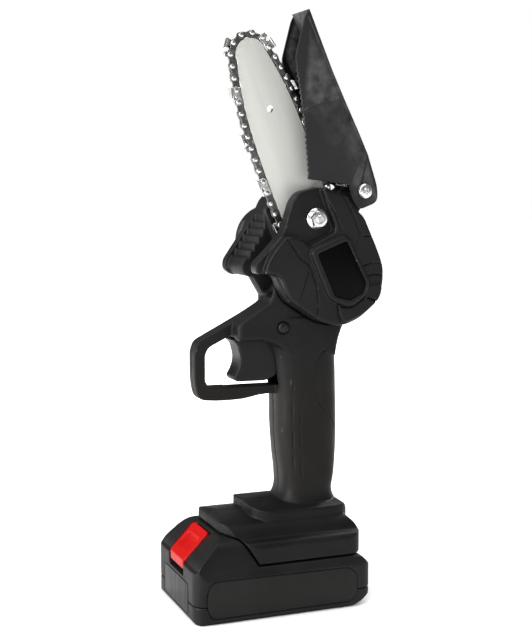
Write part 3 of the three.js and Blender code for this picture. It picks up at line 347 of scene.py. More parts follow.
def merged(name, pieces):
    """Several separate meshes as one object, without joining their surfaces."""
    vertices = []
    faces = []
    for piece in pieces:
        start = len(vertices)
        vertices.extend(tuple(v.co / MM) for v in piece.data.vertices)
        faces.extend(tuple(start + i for i in f.vertices) for f in piece.data.polygons)
        remove(piece)
    mesh = bpy.data.meshes.new(name)
    mesh.from_pydata([Vector(v) * MM for v in vertices], [], faces)
    whole = bpy.data.objects.new(name, mesh)
    bpy.context.scene.collection.objects.link(whole)
    return whole


def moulded(piece, voxel, passes=3, keep=1.0):
    """Rounds every edge a little, as moulding does: a fine remesh, smoothed."""
    remesh = piece.modifiers.new("remesh", "REMESH")
    remesh.mode = "VOXEL"
    remesh.voxel_size = voxel * MM
    remesh.adaptivity = 0.0
    smooth = piece.modifiers.new("smooth", "SMOOTH")
    smooth.factor = 0.5
    smooth.iterations = passes
    if keep < 1:
        thin = piece.modifiers.new("thin", "DECIMATE")
        thin.ratio = keep
    apply_modifiers(piece)
    shade(piece, 180)
    return piece


def shade(piece, angle=35):
    """Smooth shading, with edges sharper than the angle left crisp."""
    mesh = piece.data
    for face in mesh.polygons:
        face.use_smooth = True
    work = bmesh.new()
    work.from_mesh(mesh)
    limit = math.radians(angle)
    for edge in work.edges:
        edge.smooth = len(edge.link_faces) != 2 or edge.calc_face_angle(0) < limit
    work.to_mesh(mesh)
    work.free()


def softened(piece, width, segments=2, angle=35):
    """A small bevel on every sharp edge, for machined and pressed pieces."""
    bevel = piece.modifiers.new("bevel", "BEVEL")
    bevel.width = width * MM
    bevel.segments = segments
    bevel.limit_method = "ANGLE"
    bevel.angle_limit = math.radians(angle)
    bevel.use_clamp_overlap = True
    apply_modifiers(piece)
    shade(piece, 20)
    return piece


def show(piece, name, material, body, *nodes):
    """Names a piece, gives it its look and its body, and lets it stand for CAD nodes."""
    piece.name = name
    piece.data.materials.clear()
    piece.data.materials.append(material)
    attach(piece, body)
    if nodes:
        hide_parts(*nodes)
    return piece


# ---------------------------------------------------------------- materials


class Surface:
    """A Principled material, with short ways to add noise, wear and bump to it."""

    def __init__(self, name, metallic=0.0, specular=0.5):
        self.material = bpy.data.materials.new(name)
        self.material.use_nodes = True
        self.tree = self.material.node_tree
        self.shader = self.tree.nodes["Principled BSDF"]
        self.shader.inputs["Metallic"].default_value = metallic
        self.shader.inputs["Specular IOR Level"].default_value = specular
        self.coords = self.tree.nodes.new("ShaderNodeTexCoord").outputs["Object"]
        self.normal = None

    def link(self, source, target):
        self.tree.links.new(source, target)

    def stretched(self, scale, tilt=0.0):
        """Coordinates turned by a tilt about Y, then scaled along each axis."""
        turn = self.tree.nodes.new("ShaderNodeMapping")
        turn.inputs["Rotation"].default_value = (0, tilt, 0)
        self.link(self.coords, turn.inputs["Vector"])
        stretch = self.tree.nodes.new("ShaderNodeMapping")
        stretch.inputs["Scale"].default_value = scale
        self.link(turn.outputs["Vector"], stretch.inputs["Vector"])
        return stretch.outputs["Vector"]

    def noise(self, scale, detail=3.0, coords=None):
        node = self.tree.nodes.new("ShaderNodeTexNoise")
        node.inputs["Scale"].default_value = scale
        node.inputs["Detail"].default_value = detail
        self.link(coords or self.coords, node.inputs["Vector"])
        return node.outputs["Fac"]

    def height_on(self, axis):
        """One coordinate of a point on the piece, in metres."""
        node = self.tree.nodes.new("ShaderNodeSeparateXYZ")
        self.link(self.coords, node.inputs[0])
        return node.outputs[axis]

    def edges(self, low, high):
        """1 on the outward edges of a fine mesh, and 0 on its flats."""
        node = self.tree.nodes.new("ShaderNodeNewGeometry")
        return self.ranged(node.outputs["Pointiness"], low, high)

    def ranged(self, value, low, high, to_low=0.0, to_high=1.0):
        node = self.tree.nodes.new("ShaderNodeMapRange")
        node.inputs["From Min"].default_value = low
        node.inputs["From Max"].default_value = high
        node.inputs["To Min"].default_value = to_low
        node.inputs["To Max"].default_value = to_high
        self.link(value, node.inputs["Value"])
        return node.outputs["Result"]

    def times(self, a, b):
        node = self.tree.nodes.new("ShaderNodeMath")
        node.operation = "MULTIPLY"
        self.link(a, node.inputs[0])
        if isinstance(b, float):
            node.inputs[1].default_value = b
        else:
            self.link(b, node.inputs[1])
        return node.outputs[0]

    def mixed(self, factor, first, second):
        """A colour between two, each a tuple or the output of a node."""
        node = self.tree.nodes.new("ShaderNodeMix")
        node.data_type = "RGBA"
        self.link(factor, node.inputs[0])
        for socket, colour in ((node.inputs[6], first), (node.inputs[7], second)):
            if isinstance(colour, tuple):
                socket.default_value = (*colour, 1)
            else:
                self.link(colour, socket)
        return node.outputs[2]

    def colour(self, source):
        self.link(source, self.shader.inputs["Base Color"])

    def roughness(self, source):
        self.link(source, self.shader.inputs["Roughness"])

    def bump(self, height, depth_mm, strength=1.0):
        """Adds a relief of a depth in millimetres on top of those before it."""
        node = self.tree.nodes.new("ShaderNodeBump")
        node.inputs["Strength"].default_value = strength
        node.inputs["Distance"].default_value = depth_mm * MM
        self.link(height, node.inputs["Height"])
        if self.normal:
            self.link(self.normal, node.inputs["Normal"])
        self.normal = node.outputs["Normal"]
        self.link(self.normal, self.shader.inputs["Normal"])


def moulded_plastic(name, dark, light, rough, grain_mm=0.035, specular=0.15):
    """Textured moulded plastic: spark grain, faint flow marks, rubbed edges."""
    surface = Surface(name, specular=specular)
    worn = (0.06, 0.06, 0.062)
    flow = surface.noise(28.0, 4.0)
    cloud = surface.mixed(surface.ranged(flow, 0.35, 0.68), dark, light)
    grain = surface.noise(2100.0, 2.0)
    rub = surface.times(surface.edges(0.53, 0.64), surface.ranged(surface.noise(170.0), 0.3, 0.7))
    surface.colour(surface.mixed(rub, cloud, worn))
    blotch = surface.noise(60.0, 5.0)
    surface.roughness(surface.ranged(blotch, 0.3, 0.7, rough - 0.07, rough + 0.08))
    surface.bump(grain, grain_mm)
    surface.bump(surface.noise(130.0, 2.0), 0.05, 0.5)
    return surface.material


def grip_plastic():
    """The housing's plastic, browner down the grip, as softer plastic is."""
    surface = Surface("body_plastic", specular=0.14)
    black, grey = (0.0045, 0.0045, 0.0048), (0.008, 0.008, 0.0083)
    flow = surface.ranged(surface.noise(28.0, 4.0), 0.35, 0.68)
    body = surface.mixed(flow, black, grey)
    height = surface.height_on("Z")
    above = surface.ranged(height, 0.060, 0.066)
    below = surface.ranged(height, 0.150, 0.112)
    on_grip = surface.times(above, below)
    tinted = surface.mixed(on_grip, body, (0.0068, 0.0060, 0.0050))
    rub = surface.times(surface.edges(0.53, 0.64), surface.ranged(surface.noise(170.0), 0.3, 0.7))
    surface.colour(surface.mixed(rub, tinted, (0.055, 0.055, 0.056)))
    surface.roughness(surface.ranged(surface.noise(60.0, 5.0), 0.3, 0.7, 0.44, 0.60))
    surface.bump(surface.noise(2100.0, 2.0), 0.035)
    surface.bump(surface.noise(130.0, 2.0), 0.05, 0.5)
    return surface.material


def glossy_plastic(name, dark, light, rough, specular=0.5):
    """Smooth plastic with faint smears in its gloss and a slight waviness."""
    surface = Surface(name, specular=specular)
    surface.colour(surface.mixed(surface.ranged(surface.noise(45.0), 0.3, 0.7), dark, light))
    smear = surface.noise(9.0, 6.0, surface.stretched((30, 30, 6)))
    surface.roughness(surface.ranged(smear, 0.3, 0.7, rough, rough + 0.14))
    surface.bump(surface.noise(90.0, 2.0), 0.03, 0.6)
    return surface.material


def button_plastic():
    """Red plastic, brighter on its rubbed edges."""
    surface = Surface("red_button", specular=0.12)
    patches = surface.ranged(surface.noise(55.0), 0.3, 0.7)
    red = surface.mixed(patches, (0.29, 0.0012, 0.0009), (0.35, 0.0016, 0.0012))
    surface.colour(surface.mixed(surface.edges(0.52, 0.62), red, (0.60, 0.026, 0.012)))
    surface.roughness(surface.ranged(surface.noise(120.0, 4.0), 0.3, 0.7, 0.30, 0.44))
    surface.bump(surface.noise(1900.0, 2.0), 0.02)
    return surface.material


def brushed_steel(name, dark, light, rough, along, tilt=0.0, depth_mm=0.01):
    """Steel with grinding lines along one axis, cloudy patches and a few stains."""
    surface = Surface(name, metallic=1.0)
    lines = surface.noise(1.0, 3.0, surface.stretched(along, tilt))
    tone = surface.mixed(surface.ranged(lines, 0.3, 0.7), dark, light)
    stain = surface.ranged(surface.noise(38.0, 5.0), 0.56, 0.74, 0.0, 0.35)
    surface.colour(surface.mixed(stain, tone, tuple(0.72 * c for c in dark)))
    surface.roughness(surface.ranged(lines, 0.25, 0.75, rough - 0.06, rough + 0.1))
    surface.bump(lines, depth_mm)
    return surface.material


def plated_steel(name, dark, light, rough, tarnish):
    """Small steel pieces: plated, a little uneven, darker where grime has stayed."""
    surface = Surface(name, metallic=1.0)
    tone = surface.mixed(surface.ranged(surface.noise(210.0, 4.0), 0.3, 0.7), dark, light)
    grime = surface.ranged(surface.noise(420.0, 5.0), 0.52, 0.72, 0.0, 0.7)
    surface.colour(surface.mixed(grime, tone, tarnish))
    surface.roughness(surface.ranged(surface.noise(800.0, 3.0), 0.3, 0.7, rough, rough + 0.2))
    surface.bump(surface.noise(900.0, 3.0), 0.012)
    return surface.material


def painted_bar():
    """The guide bar's pale satin face: lengthwise grinding, rubbed by the chain at its rails."""
    surface = Surface("bar_face", metallic=0.25)
    surface.shader.inputs["Coat Weight"].default_value = 0.12
    surface.shader.inputs["Coat Roughness"].default_value = 0.3
    lines = surface.noise(1.0, 3.0, surface.stretched((900, 900, 26), HEAD_TILT))
    tone = surface.mixed(surface.ranged(lines, 0.3, 0.7), (0.465, 0.465, 0.44), (0.485, 0.485, 0.46))
    smear = surface.ranged(surface.noise(24.0, 5.0), 0.5, 0.75, 0.0, 0.3)
    surface.colour(surface.mixed(smear, tone, (0.47, 0.47, 0.44)))
    surface.roughness(surface.ranged(lines, 0.25, 0.75, 0.40, 0.5))
    surface.bump(lines, 0.003)
    return surface.material


def wound_copper():
    """Enamelled copper wire, wound in fine turns."""
    surface = Surface("copper", metallic=1.0)
    turns = surface.noise(1.0, 1.0, surface.stretched((1500, 60, 1500)))
    surface.colour(surface.mixed(turns, (0.42, 0.16, 0.06), (0.72, 0.38, 0.18)))
    surface.roughness(surface.ranged(turns, 0.3, 0.7, 0.28, 0.45))
    surface.bump(turns, 0.1)
    return surface.material


def circuit_board():
    """Green solder mask with a woven relief and paler tracks."""
    surface = Surface("board_green", specular=0.5)
    tracks = surface.noise(1.0, 0.0, surface.stretched((420, 60, 10)))
    surface.colour(
        surface.mixed(surface.ranged(tracks, 0.55, 0.6), (0.008, 0.07, 0.03), (0.02, 0.15, 0.06))
    )
    surface.roughness(surface.ranged(surface.noise(300.0), 0.3, 0.7, 0.28, 0.42))
    surface.bump(tracks, 0.03)
    return surface.material


def shrink_film(name, dark, light):
    """Thin wrap drawn tight: long faint wrinkles in its gloss."""
    surface = Surface(name)
    folds = surface.noise(1.0, 3.0, surface.stretched((260, 34, 260)))
    surface.colour(surface.mixed(surface.ranged(folds, 0.3, 0.7), dark, light))
    surface.roughness(surface.ranged(folds, 0.3, 0.7, 0.25, 0.42))
    surface.bump(folds, 0.06)
    return surface.material


def floor_paper():
    """Pale studio paper with a trace of tooth, glowing towards the far edges."""
    surface = Surface("studio_paper", specular=0.2)
    surface.colour(surface.mixed(surface.noise(3.0), (0.86, 0.86, 0.86), (0.9, 0.9, 0.9)))
    surface.roughness(surface.ranged(surface.noise(9.0), 0.3, 0.7, 0.8, 0.95))
    surface.bump(surface.noise(500.0), 0.02)
    distance = surface.tree.nodes.new("ShaderNodeVectorMath")
    distance.operation = "LENGTH"
    surface.link(surface.coords, distance.inputs[0])
    glow = surface.ranged(distance.outputs["Value"], 0.15, 0.7)
    surface.shader.inputs["Emission Color"].default_value = (1, 1, 1, 1)
    surface.link(glow, surface.shader.inputs["Emission Strength"])
    return surface.material


BODY = grip_plastic()
COVER = moulded_plastic("cover_plastic", (0.0045, 0.0045, 0.0047), (0.008, 0.008, 0.0083), 0.40)
GUARD = moulded_plastic(
    "guard_plastic", (0.0105, 0.0105, 0.0107), (0.0125, 0.0125, 0.0127), 0.46, 0.02, 0.2
)
# Near-black, rough and with almost no sheen: painted shade for the inside faces of the guard's channel.
GUARD_PAINTED_SHADE = moulded_plastic("guard_inside_painted_shade", (0.0012, 0.0012, 0.0012), (0.0022, 0.0022, 0.0022),
                               0.7, 0.02, 0.03)
TRIGGER = moulded_plastic("trigger_plastic", (0.0055, 0.0055, 0.0058), (0.009, 0.009, 0.0093), 0.45)
BATTERY = moulded_plastic("battery_plastic", (0.0055, 0.0056, 0.0055), (0.0095, 0.0097, 0.0095), 0.47)
LABEL = glossy_plastic("battery_panel", (0.0105, 0.0108, 0.010), (0.0125, 0.0128, 0.012), 0.36, 0.12)
WINDOW = glossy_plastic("window_plastic", (0.0008, 0.0008, 0.0009), (0.0012, 0.0012, 0.0013), 0.3, 0.05)
BLACK = glossy_plastic("black_plastic", (0.010, 0.010, 0.010), (0.018, 0.018, 0.018), 0.34)
RED = glossy_plastic("red_plastic", (0.45, 0.01, 0.008), (0.58, 0.02, 0.012), 0.3)
BUTTON = button_plastic()
BAR = painted_bar()
RAIL_STEEL = brushed_steel(
    "rail_steel", (0.42, 0.42, 0.41), (0.6, 0.6, 0.58), 0.3, (900, 60, 40), HEAD_TILT
)
CUTTER_CHROME = plated_steel(
    "cutter_chrome", (0.62, 0.62, 0.60), (0.86, 0.86, 0.84), 0.14, (0.2, 0.19, 0.17)
)
STRAP_STEEL = plated_steel(
    "strap_steel", (0.10, 0.10, 0.10), (0.20, 0.20, 0.195), 0.26, (0.03, 0.028, 0.025)
)
BLACKENED = plated_steel(
    "blackened_steel", (0.03, 0.03, 0.031), (0.06, 0.06, 0.062), 0.35, (0.015, 0.015, 0.015)
)
RIVET_STEEL = plated_steel(
    "rivet_steel", (0.50, 0.50, 0.48), (0.74, 0.74, 0.72), 0.18, (0.12, 0.11, 0.10)
)
BRIGHT = plated_steel("bright_steel", (0.60, 0.60, 0.60), (0.82, 0.82, 0.82), 0.16, (0.22, 0.21, 0.2))
DARK = plated_steel("dark_steel", (0.16, 0.16, 0.165), (0.27, 0.27, 0.275), 0.3, (0.05, 0.05, 0.05))
COPPER = wound_copper()
CELL_WRAP = shrink_film("cell_wrap", (0.02, 0.13, 0.36), (0.04, 0.22, 0.5))
BOARD = circuit_board()
RED_WIRE = shrink_film("red_wire", (0.35, 0.012, 0.01), (0.5, 0.03, 0.02))
BLACK_WIRE = shrink_film("black_wire", (0.006, 0.006, 0.006), (0.012, 0.012, 0.012))

# ---------------------------------------------------------------- guide bar and chain


def rail_half_width(z):
    """Half the bar's width at a height: widest low down, narrowing to the nose."""
    nose_drop = 6.35
    tail_drop = 1.0
    tail_reach = 27
    if z > BAR_WIDEST_Z:
        share = (z - BAR_WIDEST_Z) / (NOSE_CENTRE_Z - BAR_WIDEST_Z)
        return BAR_HALF_WIDTH - nose_drop * share ** 2.75
    share = (BAR_WIDEST_Z - z) / tail_reach
    return BAR_HALF_WIDTH - tail_drop * share ** 2


def rear_rail(rail_steps=60, nose_steps=24):
    """The rear rail of the bar from low to high, then the nose to its middle."""
    top = NOSE_CENTRE_Z + NOSE_RADIUS * math.sin(NOSE_START)
    points = []
    for i in range(rail_steps):
        z = BAR_RAIL_LOW_Z + (top - BAR_RAIL_LOW_Z) * i / rail_steps
        points.append(Vector((rail_half_width(z), z)))
    for i in range(nose_steps + 1):
        angle = NOSE_START + (math.pi / 2 - NOSE_START) * i / nose_steps
        x = NOSE_RADIUS * math.cos(angle)
        points.append(Vector((x, NOSE_CENTRE_Z + NOSE_RADIUS * math.sin(angle))))
    return points


def mirrored(points):
    return [Vector((-p.x, p.y)) for p in reversed(points)]


def chain_line():
    """The closed line that the chain's feet run on, from the sprocket round the bar."""
    sprocket_steps = 48
    wrap = math.radians(7)
    radius = SPROCKET_PITCH_RADIUS - RIVET_HEIGHT
    points = []
    for i in range(sprocket_steps + 1):
        angle = -math.pi + wrap + (math.pi - 2 * wrap) * i / sprocket_steps
        points.append(Vector((radius * math.cos(angle), SPROCKET_Z + radius * math.sin(angle))))
    rail = rear_rail()
    return points + rail + mirrored(rail)[1:]


def evenly_spaced(line, count):
    """Points at equal distances along a closed line."""
    closed = line + [line[0]]
    lengths = [(b - a).length for a, b in zip(closed, closed[1:])]
    step = sum(lengths) / count
    points = []
    walked = 0.0
    segment = 0
    for k in range(count):
        while walked + lengths[segment] < k * step:
            walked += lengths[segment]
            segment += 1
        share = (k * step - walked) / lengths[segment]
        points.append(closed[segment].lerp(closed[segment + 1], share))
    return points


def make_guide_bar():
    rail = rear_rail()
    tail = [Vector((-9.5, 21)), Vector((9.5, 21)), Vector((12.5, 27))]
    edge = tail + rail + mirrored(rail)[1:] + [Vector((-12.5, 27))]
    near = CHAIN_Y - BAR_THICKNESS / 2
    far = CHAIN_Y + BAR_THICKNESS / 2
    groove_half = 0.85
    groove_depth = 4.6
    bar = slab_y(edge, near, far, edge=0.25, place=HEAD)
    groove_ring = slab_y(moved_out(edge, 2), CHAIN_Y - groove_half, CHAIN_Y + groove_half, place=HEAD)
    groove_core = slab_y(moved_out(edge, -groove_depth), CHAIN_Y - 2, CHAIN_Y + 2, place=HEAD)
    groove = cut(groove_ring, groove_core)
    through = (near - 1, far + 1)
    bar = cut(
        bar,
        groove,
        slab_y(rectangle(-3.4, 3.4, 33, 50, 3.2), *through, place=HEAD),
        rod_y(8.2, 37, 1.9, *through, place=HEAD),
        rod_y(0, 105.2, 1.9, *through, place=HEAD),
    )
    softened(bar, 0.12)
    show(bar, "guide_bar_plate", BAR, "saw_body", "guide_bar")
    bar.data.materials.append(RAIL_STEEL)
    for face in bar.data.polygons:
        if abs(face.normal.y) < 0.9:
            face.material_index = 1


class Link:
    """The place of one link: midway between two rivets, u along it and v outward."""

    def __init__(self, start, end):
        self.middle = (start + end) / 2
        self.along = (end - start).normalized()
        self.outward = Vector((self.along.y, -self.along.x))
        self.half = (end - start).length / 2

    def frame(self):
        """Link space has X along the link, Y across the saw and Z outward."""
        along = Vector((self.along.x, 0, self.along.y))
        outward = Vector((self.outward.x, 0, self.outward.y))
        turn = Matrix((along, Vector((0, 1, 0)), outward)).transposed().to_4x4()
        middle = Matrix.Translation((self.middle.x, CHAIN_Y, self.middle.y))
        return HEAD @ middle @ turn


def drive_link(link):
    """A centre link, its humps above the rivets and its tang in the bar's groove."""
    h = link.half
    tang_tip = -5.9
    side = outline([
        (-h - 1.9, -0.6, 1.2), (-h - 1.2, 1.5, 1.2), (-h + 0.9, 1.5, 1), (0, 0.7, 1.5),
        (h - 0.9, 1.5, 1), (h + 1.2, 1.5, 1.2), (h + 1.9, -0.6, 1.2), (h + 0.9, -2.2, 1),
        (1.9, -3.4, 1), (0.7, tang_tip, 0.6), (-0.9, tang_tip, 0.6), (-2.2, -3.4, 1),
        (-h - 0.9, -2.2, 1),
    ], steps=3)
    return slab_y(side, -0.55, 0.55, edge=0.12, place=link.frame(), edge_steps=1)


def tie_strap(link, side):
    """A side strap with a waist between its two rivets."""
    h = link.half
    shape = outline([
        (-h - 1.9, -0.3, 1.5), (-h - 1.4, 1.5, 1.1), (-h + 1.1, 1.5, 1), (0, 0.85, 1.2),
        (h - 1.1, 1.5, 1), (h + 1.4, 1.5, 1.1), (h + 1.9, -0.3, 1.5), (h + 1.2, -2.2, 1.2),
        (h - 1.2, -2.2, 0.8), (0, -1.5, 1.2), (-h + 1.2, -2.2, 0.8), (-h - 1.2, -2.2, 1.2),
    ], steps=3)
    y0, y1 = sorted((0.66 * side, 1.66 * side))
    return slab_y(shape, y0, y1, edge=0.15, place=link.frame(), edge_steps=1)


def cutter(link, side):
    """A cutter: side plate with depth gauge and tooth, and a top plate leaning over."""
    h = link.half
    plate = outline([
        (-h - 1.9, -0.4, 1.4), (-h - 1.9, 3.3, 0.5), (0.3, 3.5, 0.3), (-0.3, 1.2, 0.9),
        (1.3, 0.8, 0.8), (h - 1.0, 2.9, 0.9), (h + 1.6, 2.6, 1.0), (h + 1.9, -0.4, 1.4),
        (h + 1.2, -2.2, 1.2), (h - 1.2, -2.2, 0.8), (0, -1.5, 1.2), (-h + 1.2, -2.2, 0.8),
        (-h - 1.2, -2.2, 1.2),
    ], steps=3)
    y0, y1 = sorted((0.66 * side, 1.76 * side))
    side_plate = slab_y(plate, y0, y1, edge=0.15, place=link.frame(), edge_steps=1)
    top_low = 2.75
    top_high = 3.55
    inward = -1.1 * side
    outward = 2.3 * side
    corners = [
        Vector((-h - 1.8, inward)), Vector((0.2, inward)), Vector((0.6, outward)),
        Vector((-h - 1.8, outward)),
    ]
    top = slab_z(corners, top_low, top_high, edge=0.12, place=link.frame(), edge_steps=1)
    return [side_plate, top]


def rivet(place, side):
    """A domed rivet head on one face of the chain."""
    x, z = place
    profile = [(0.05, 2.22), (0.75, 2.16), (1.2, 1.98), (1.36, 1.72), (1.36, 1.55), (0.05, 1.55)]
    placed = [(r, CHAIN_Y + side * y) for r, y in profile]
    return turned_y(x, z, placed, place=HEAD, sides=16)


def rivet_pin(place):
    x, z = place
    return rod_y(x, z, 0.85, CHAIN_Y - 1.6, CHAIN_Y + 1.6, place=HEAD, sides=12)


def make_chain():
    rivets = evenly_spaced(moved_out(chain_line(), RIVET_HEIGHT), RIVETS)
    drive_links = []
    straps = []
    cutters = []
    for i in range(DRIVE_LINKS):
        first = rivets[2 * i]
        second = rivets[2 * i + 1]
        third = rivets[(2 * i + 2) % RIVETS]
        drive_links.append(drive_link(Link(first, second)))
        outer = Link(second, third)
        hand = -1 if i % 4 == 1 else 1
        if i % 2 == 1:
            cutters.extend(cutter(outer, hand))
            straps.append(tie_strap(outer, -hand))
        else:
            straps.extend([tie_strap(outer, 1), tie_strap(outer, -1)])
    heads = [rivet(place, side) for place in rivets for side in (1, -1)]
    pins = [rivet_pin(place) for place in rivets]
    parts = {
        "chain_drive_links": (drive_links, STRAP_STEEL),
        "chain_tie_straps": (straps, STRAP_STEEL),
        "chain_cutters": (cutters, CUTTER_CHROME),
        "chain_rivets": (heads + pins, RIVET_STEEL),
    }
    for name, (pieces, material) in parts.items():
        whole = merged(name, pieces)
        shade(whole, 30)
        show(whole, name, material, "saw_body", "saw_chain")


# ---------------------------------------------------------------- grooves and screws


def stroke(points, width):
    """The closed outline of a line drawn through points with a width."""
    line = [Vector(p) for p in points]
    left = []
    right = []
    for i, point in enumerate(line):
        along = (line[min(i + 1, len(line) - 1)] - line[max(i - 1, 0)]).normalized()
        across = Vector((-along.y, along.x)) * width / 2
        left.append(point + across)
        right.append(point - across)
    return left + right[::-1]


def groove(points, width, y0, y1, place=ROW):
    return slab_y(stroke(points, width), y0, y1, place=place)


def cross_screw(x, z, profile, reach, depth, place=ROW):
    """A screw along Y with a cross recess; the profile runs from head to tip."""
    screw = turned_y(x, z, profile, place)
    face = profile[0][1]
    inward = 1 if profile[-1][1] > face else -1
    y0, y1 = sorted((face - inward, face + inward * depth))
    arm = 0.26 * reach
    upright = block(x - arm, x + arm, y0, y1, z - reach, z + reach, place)
    level = block(x - reach, x + reach, y0, y1, z - arm, z + arm, place)
    centre = rod_y(x, z, 0.42 * reach, *sorted((face - inward, face + inward * 1.3 * depth)), place)
    screw = cut(screw, joined(upright, level, centre))
    return softened(screw, 0.08)


# ---------------------------------------------------------------- head outlines

HEAD_EDGE = [
    (19.8, 47.8, 3), (21.6, 40.1, 3), (25.5, 33.7, 3), (26.8, 14.8, 6), (26.9, 3, 8),
    (21, -9.5, 8), (5.5, -17.6, 6), (-8.7, -17.8, 6), (-19.2, -11.1, 6),
]


def cover_face():
    return outline([
        (-20.3, 42.4, 3), (-15.5, 48.6, 3), (-9.6, 56, 3), (-4, 59.1, 3), (8.8, 57.2, 4),
        (14.6, 52.3, 2), *HEAD_EDGE, (-32.6, 7.4, 4), (-33.4, 23, 3), (-43.2, 27.2, 3),
        (-41.6, 32.6, 3), (-33, 36.2, 4),
    ])


def window_shape(grow):
    return outline([
        (-8.9 - grow, 25.4 + grow, 1.5), (9.2 + grow, 25.6 + grow, 1.5), (12.1 + grow, -0.4, 2),
        (8.8 + grow, -4.3 - grow, 2), (0.4, -5.3 - grow, 2), (-7.4 - grow, 0.2 - grow, 2),
    ])


def cover_grooves():
    """The facet lines and steps moulded in the cover's raised face."""
    low, high = -28, -26.2
    lines = [
        [(15.4, 54), (17.6, 48.2), (19.2, 36), (19.4, 24.6)],
        [(7.2, 52), (9.6, 40), (9.4, 31.6)],
        [(19.4, 24.6), (16.4, 22.4)],
        [(19.4, 24.6), (27.4, 21)],
        [(14.6, 8.6), (20, 8.4), (28, 5.4)],
        [(14.4, 2.6), (19.6, 1.8), (27, -2)],
        [(10.6, -8.2), (14.1, -11.4), (17.6, -16)],
        [(-6.6, -4.8), (-8.4, -10), (-8.2, -19)],
        [(-21.6, 40.2), (-18.2, 26.4), (-14.2, 20.6), (-14.6, 8.6)],
        [(-14.2, 20.6), (-20.4, 12.6), (-26.4, 5.6)],
        [(-14.6, 8.6), (-17.6, -1), (-21, -8)],
    ]
    return [groove(line, 0.9, low, high, HEAD) for line in lines]


def make_cover():
    raised_face = outline([
        (7.2, 57.6, 3), (14.4, 52.2, 4), *[(0.985 * x, z, r) for x, z, r in HEAD_EDGE],
        (-31.8, 7.4, 4), (-32.2, 22.4, 5), (-40.4, 26.6, 4), (-33, 34.4, 4), (-20.8, 41, 4),
        (-13.2, 36, 4), (-11, 30.5, 3), (7, 32, 4),
    ])
    frame_face = outline([
        (-12.4, 28.8, 4), (11.2, 29, 4), (14.8, -0.8, 4), (9.4, -7, 4), (-1.4, -9.2, 4),
        (-11.4, -0.6, 4),
    ])
    inside = outline([
        (22.6, 28.5, 2), (24.3, 14.8, 6), (24.3, 4, 7), (19.4, -7.6, 7), (5, -15.2, 6),
        (-8, -15.4, 6), (-17.6, -9.4, 5), (-29.8, 7.4, 4), (-29.6, 19, 4), (-17, 28.5, 3),
    ])
    drum = outline([
        (11.7, -1, 2), (22.6, -4.6, 4), (18, -12, 6), (5.5, -16.6, 6), (-7.8, -16.6, 4),
        (-7.6, -5, 3), (-1.4, -9.6, 4), (9.6, -7.4, 4),
    ])
    shell = joined(
        slab_y(cover_face(), POCKET_FACE_Y, COVER_RIM_Y, edge=0.9, place=HEAD),
        slab_y(raised_face, -27, -20, edge=1.3, place=HEAD),
        slab_y(drum, -28, -24, edge=1.0, place=HEAD),
        slab_y(frame_face, COVER_FACE_Y, -24, edge=1.2, place=HEAD),
        rod_y(0, STUD_Z, 9, -14, -10.8, place=HEAD),
    )
    cover = cut(
        shell,
        slab_y(inside, -25.2, -12, place=HEAD),
        slab_y(window_shape(0.25), -31, -28.3, place=HEAD),
        rod_y(0, STUD_Z, 2.8, -24, -10, place=HEAD),
        *cover_grooves(),
    )
    moulded(cover, 0.36, passes=2, keep=0.5)
    show(cover, "cover_shell", COVER, "saw_body", "sprocket_cover")

    window = slab_y(window_shape(0), -29.5, -28.6, edge=0.25, place=HEAD)
    shade(window, 30)
    show(window, "cover_inlay", WINDOW, "saw_body", "cover_window")


def make_bar_clamp():
    profile = [(0.05, STUD_END_Y), (1.9, STUD_END_Y), (2.3, STUD_END_Y + 0.4)]
    threads = 10
    pitch = 0.7
    for i in range(threads):
        y = STUD_END_Y + 0.6 + i * pitch
        profile += [(2.3, y), (2.0, y + pitch / 2)]
    profile += [(2.3, -20.4), (2.3, -4.2), (4.6, -4.2), (4.6, -2.6), (0.05, -2.6)]
    stud = turned_y(0, STUD_Z, profile, HEAD, sides=48)
    shade(stud, 40)
    show(stud, "clamp_stud", BRIGHT, "saw_body", "bar_stud")

    seat = POCKET_FACE_Y - GAP
    top = seat - 4.6
    sides = hexagon(0, STUD_Z, 4.6, turn=math.pi / 2)
    body = slab_y(sides, top + 0.1, seat - 0.9, place=HEAD)
    cone = turned_y(0, STUD_Z, [
        (0.05, top), (3.9, top), (4.9, top + 0.7), (4.9, seat - 0.4), (0.05, seat - 0.4),
    ], HEAD)
    flange = turned_y(0, STUD_Z, [
        (0.05, seat - 1.6), (4.3, seat - 1.6), (5.6, seat - 0.8), (5.9, seat - 0.5), (5.9, seat),
        (0.05, seat),
    ], HEAD)
    nut = cut(
        joined(common(body, cone), flange),
        rod_y(0, STUD_Z, 2.5, top - 1, seat + 1, place=HEAD),
    )
    softened(nut, 0.14)
    show(nut, "clamp_nut", BRIGHT, "saw_body", "bar_nut")


# ---------------------------------------------------------------- chain guard

GUARD_BACK = [
    (42.4, 62.9), (41.3, 77.8), (39.6, 95.6), (38.2, 113.1), (37.4, 132.9), (36.9, 147.5),
]


def guard_teeth():
    """The serrated front edge, from its upper to its lower end."""
    teeth = 20
    notch = 1.1
    top = Vector((18.2, 121))
    low = Vector((4, 63.5))
    points = []
    for i in range(teeth):
        share = i / teeth
        root = top.lerp(low, share)
        bulge = 0.9 * math.sin(math.pi * share)
        points.append((root.x + bulge + notch, root.y))
        points.append((root.x + bulge, root.y - 1.6))
    return points


def guard_plate_shape():
    return outline([
        *guard_teeth(), (4, 63.5, 1.5), (26, 51.6, 2), (24.6, 44, 5), (26.5, 36.6, 6),
        (39, 36.6, 6), (41.6, 45, 3), *GUARD_BACK[:5], (36.9, 147.5, 1.5), (33.1, 144.6, 3),
        (20.2, 126.6, 4),
    ])


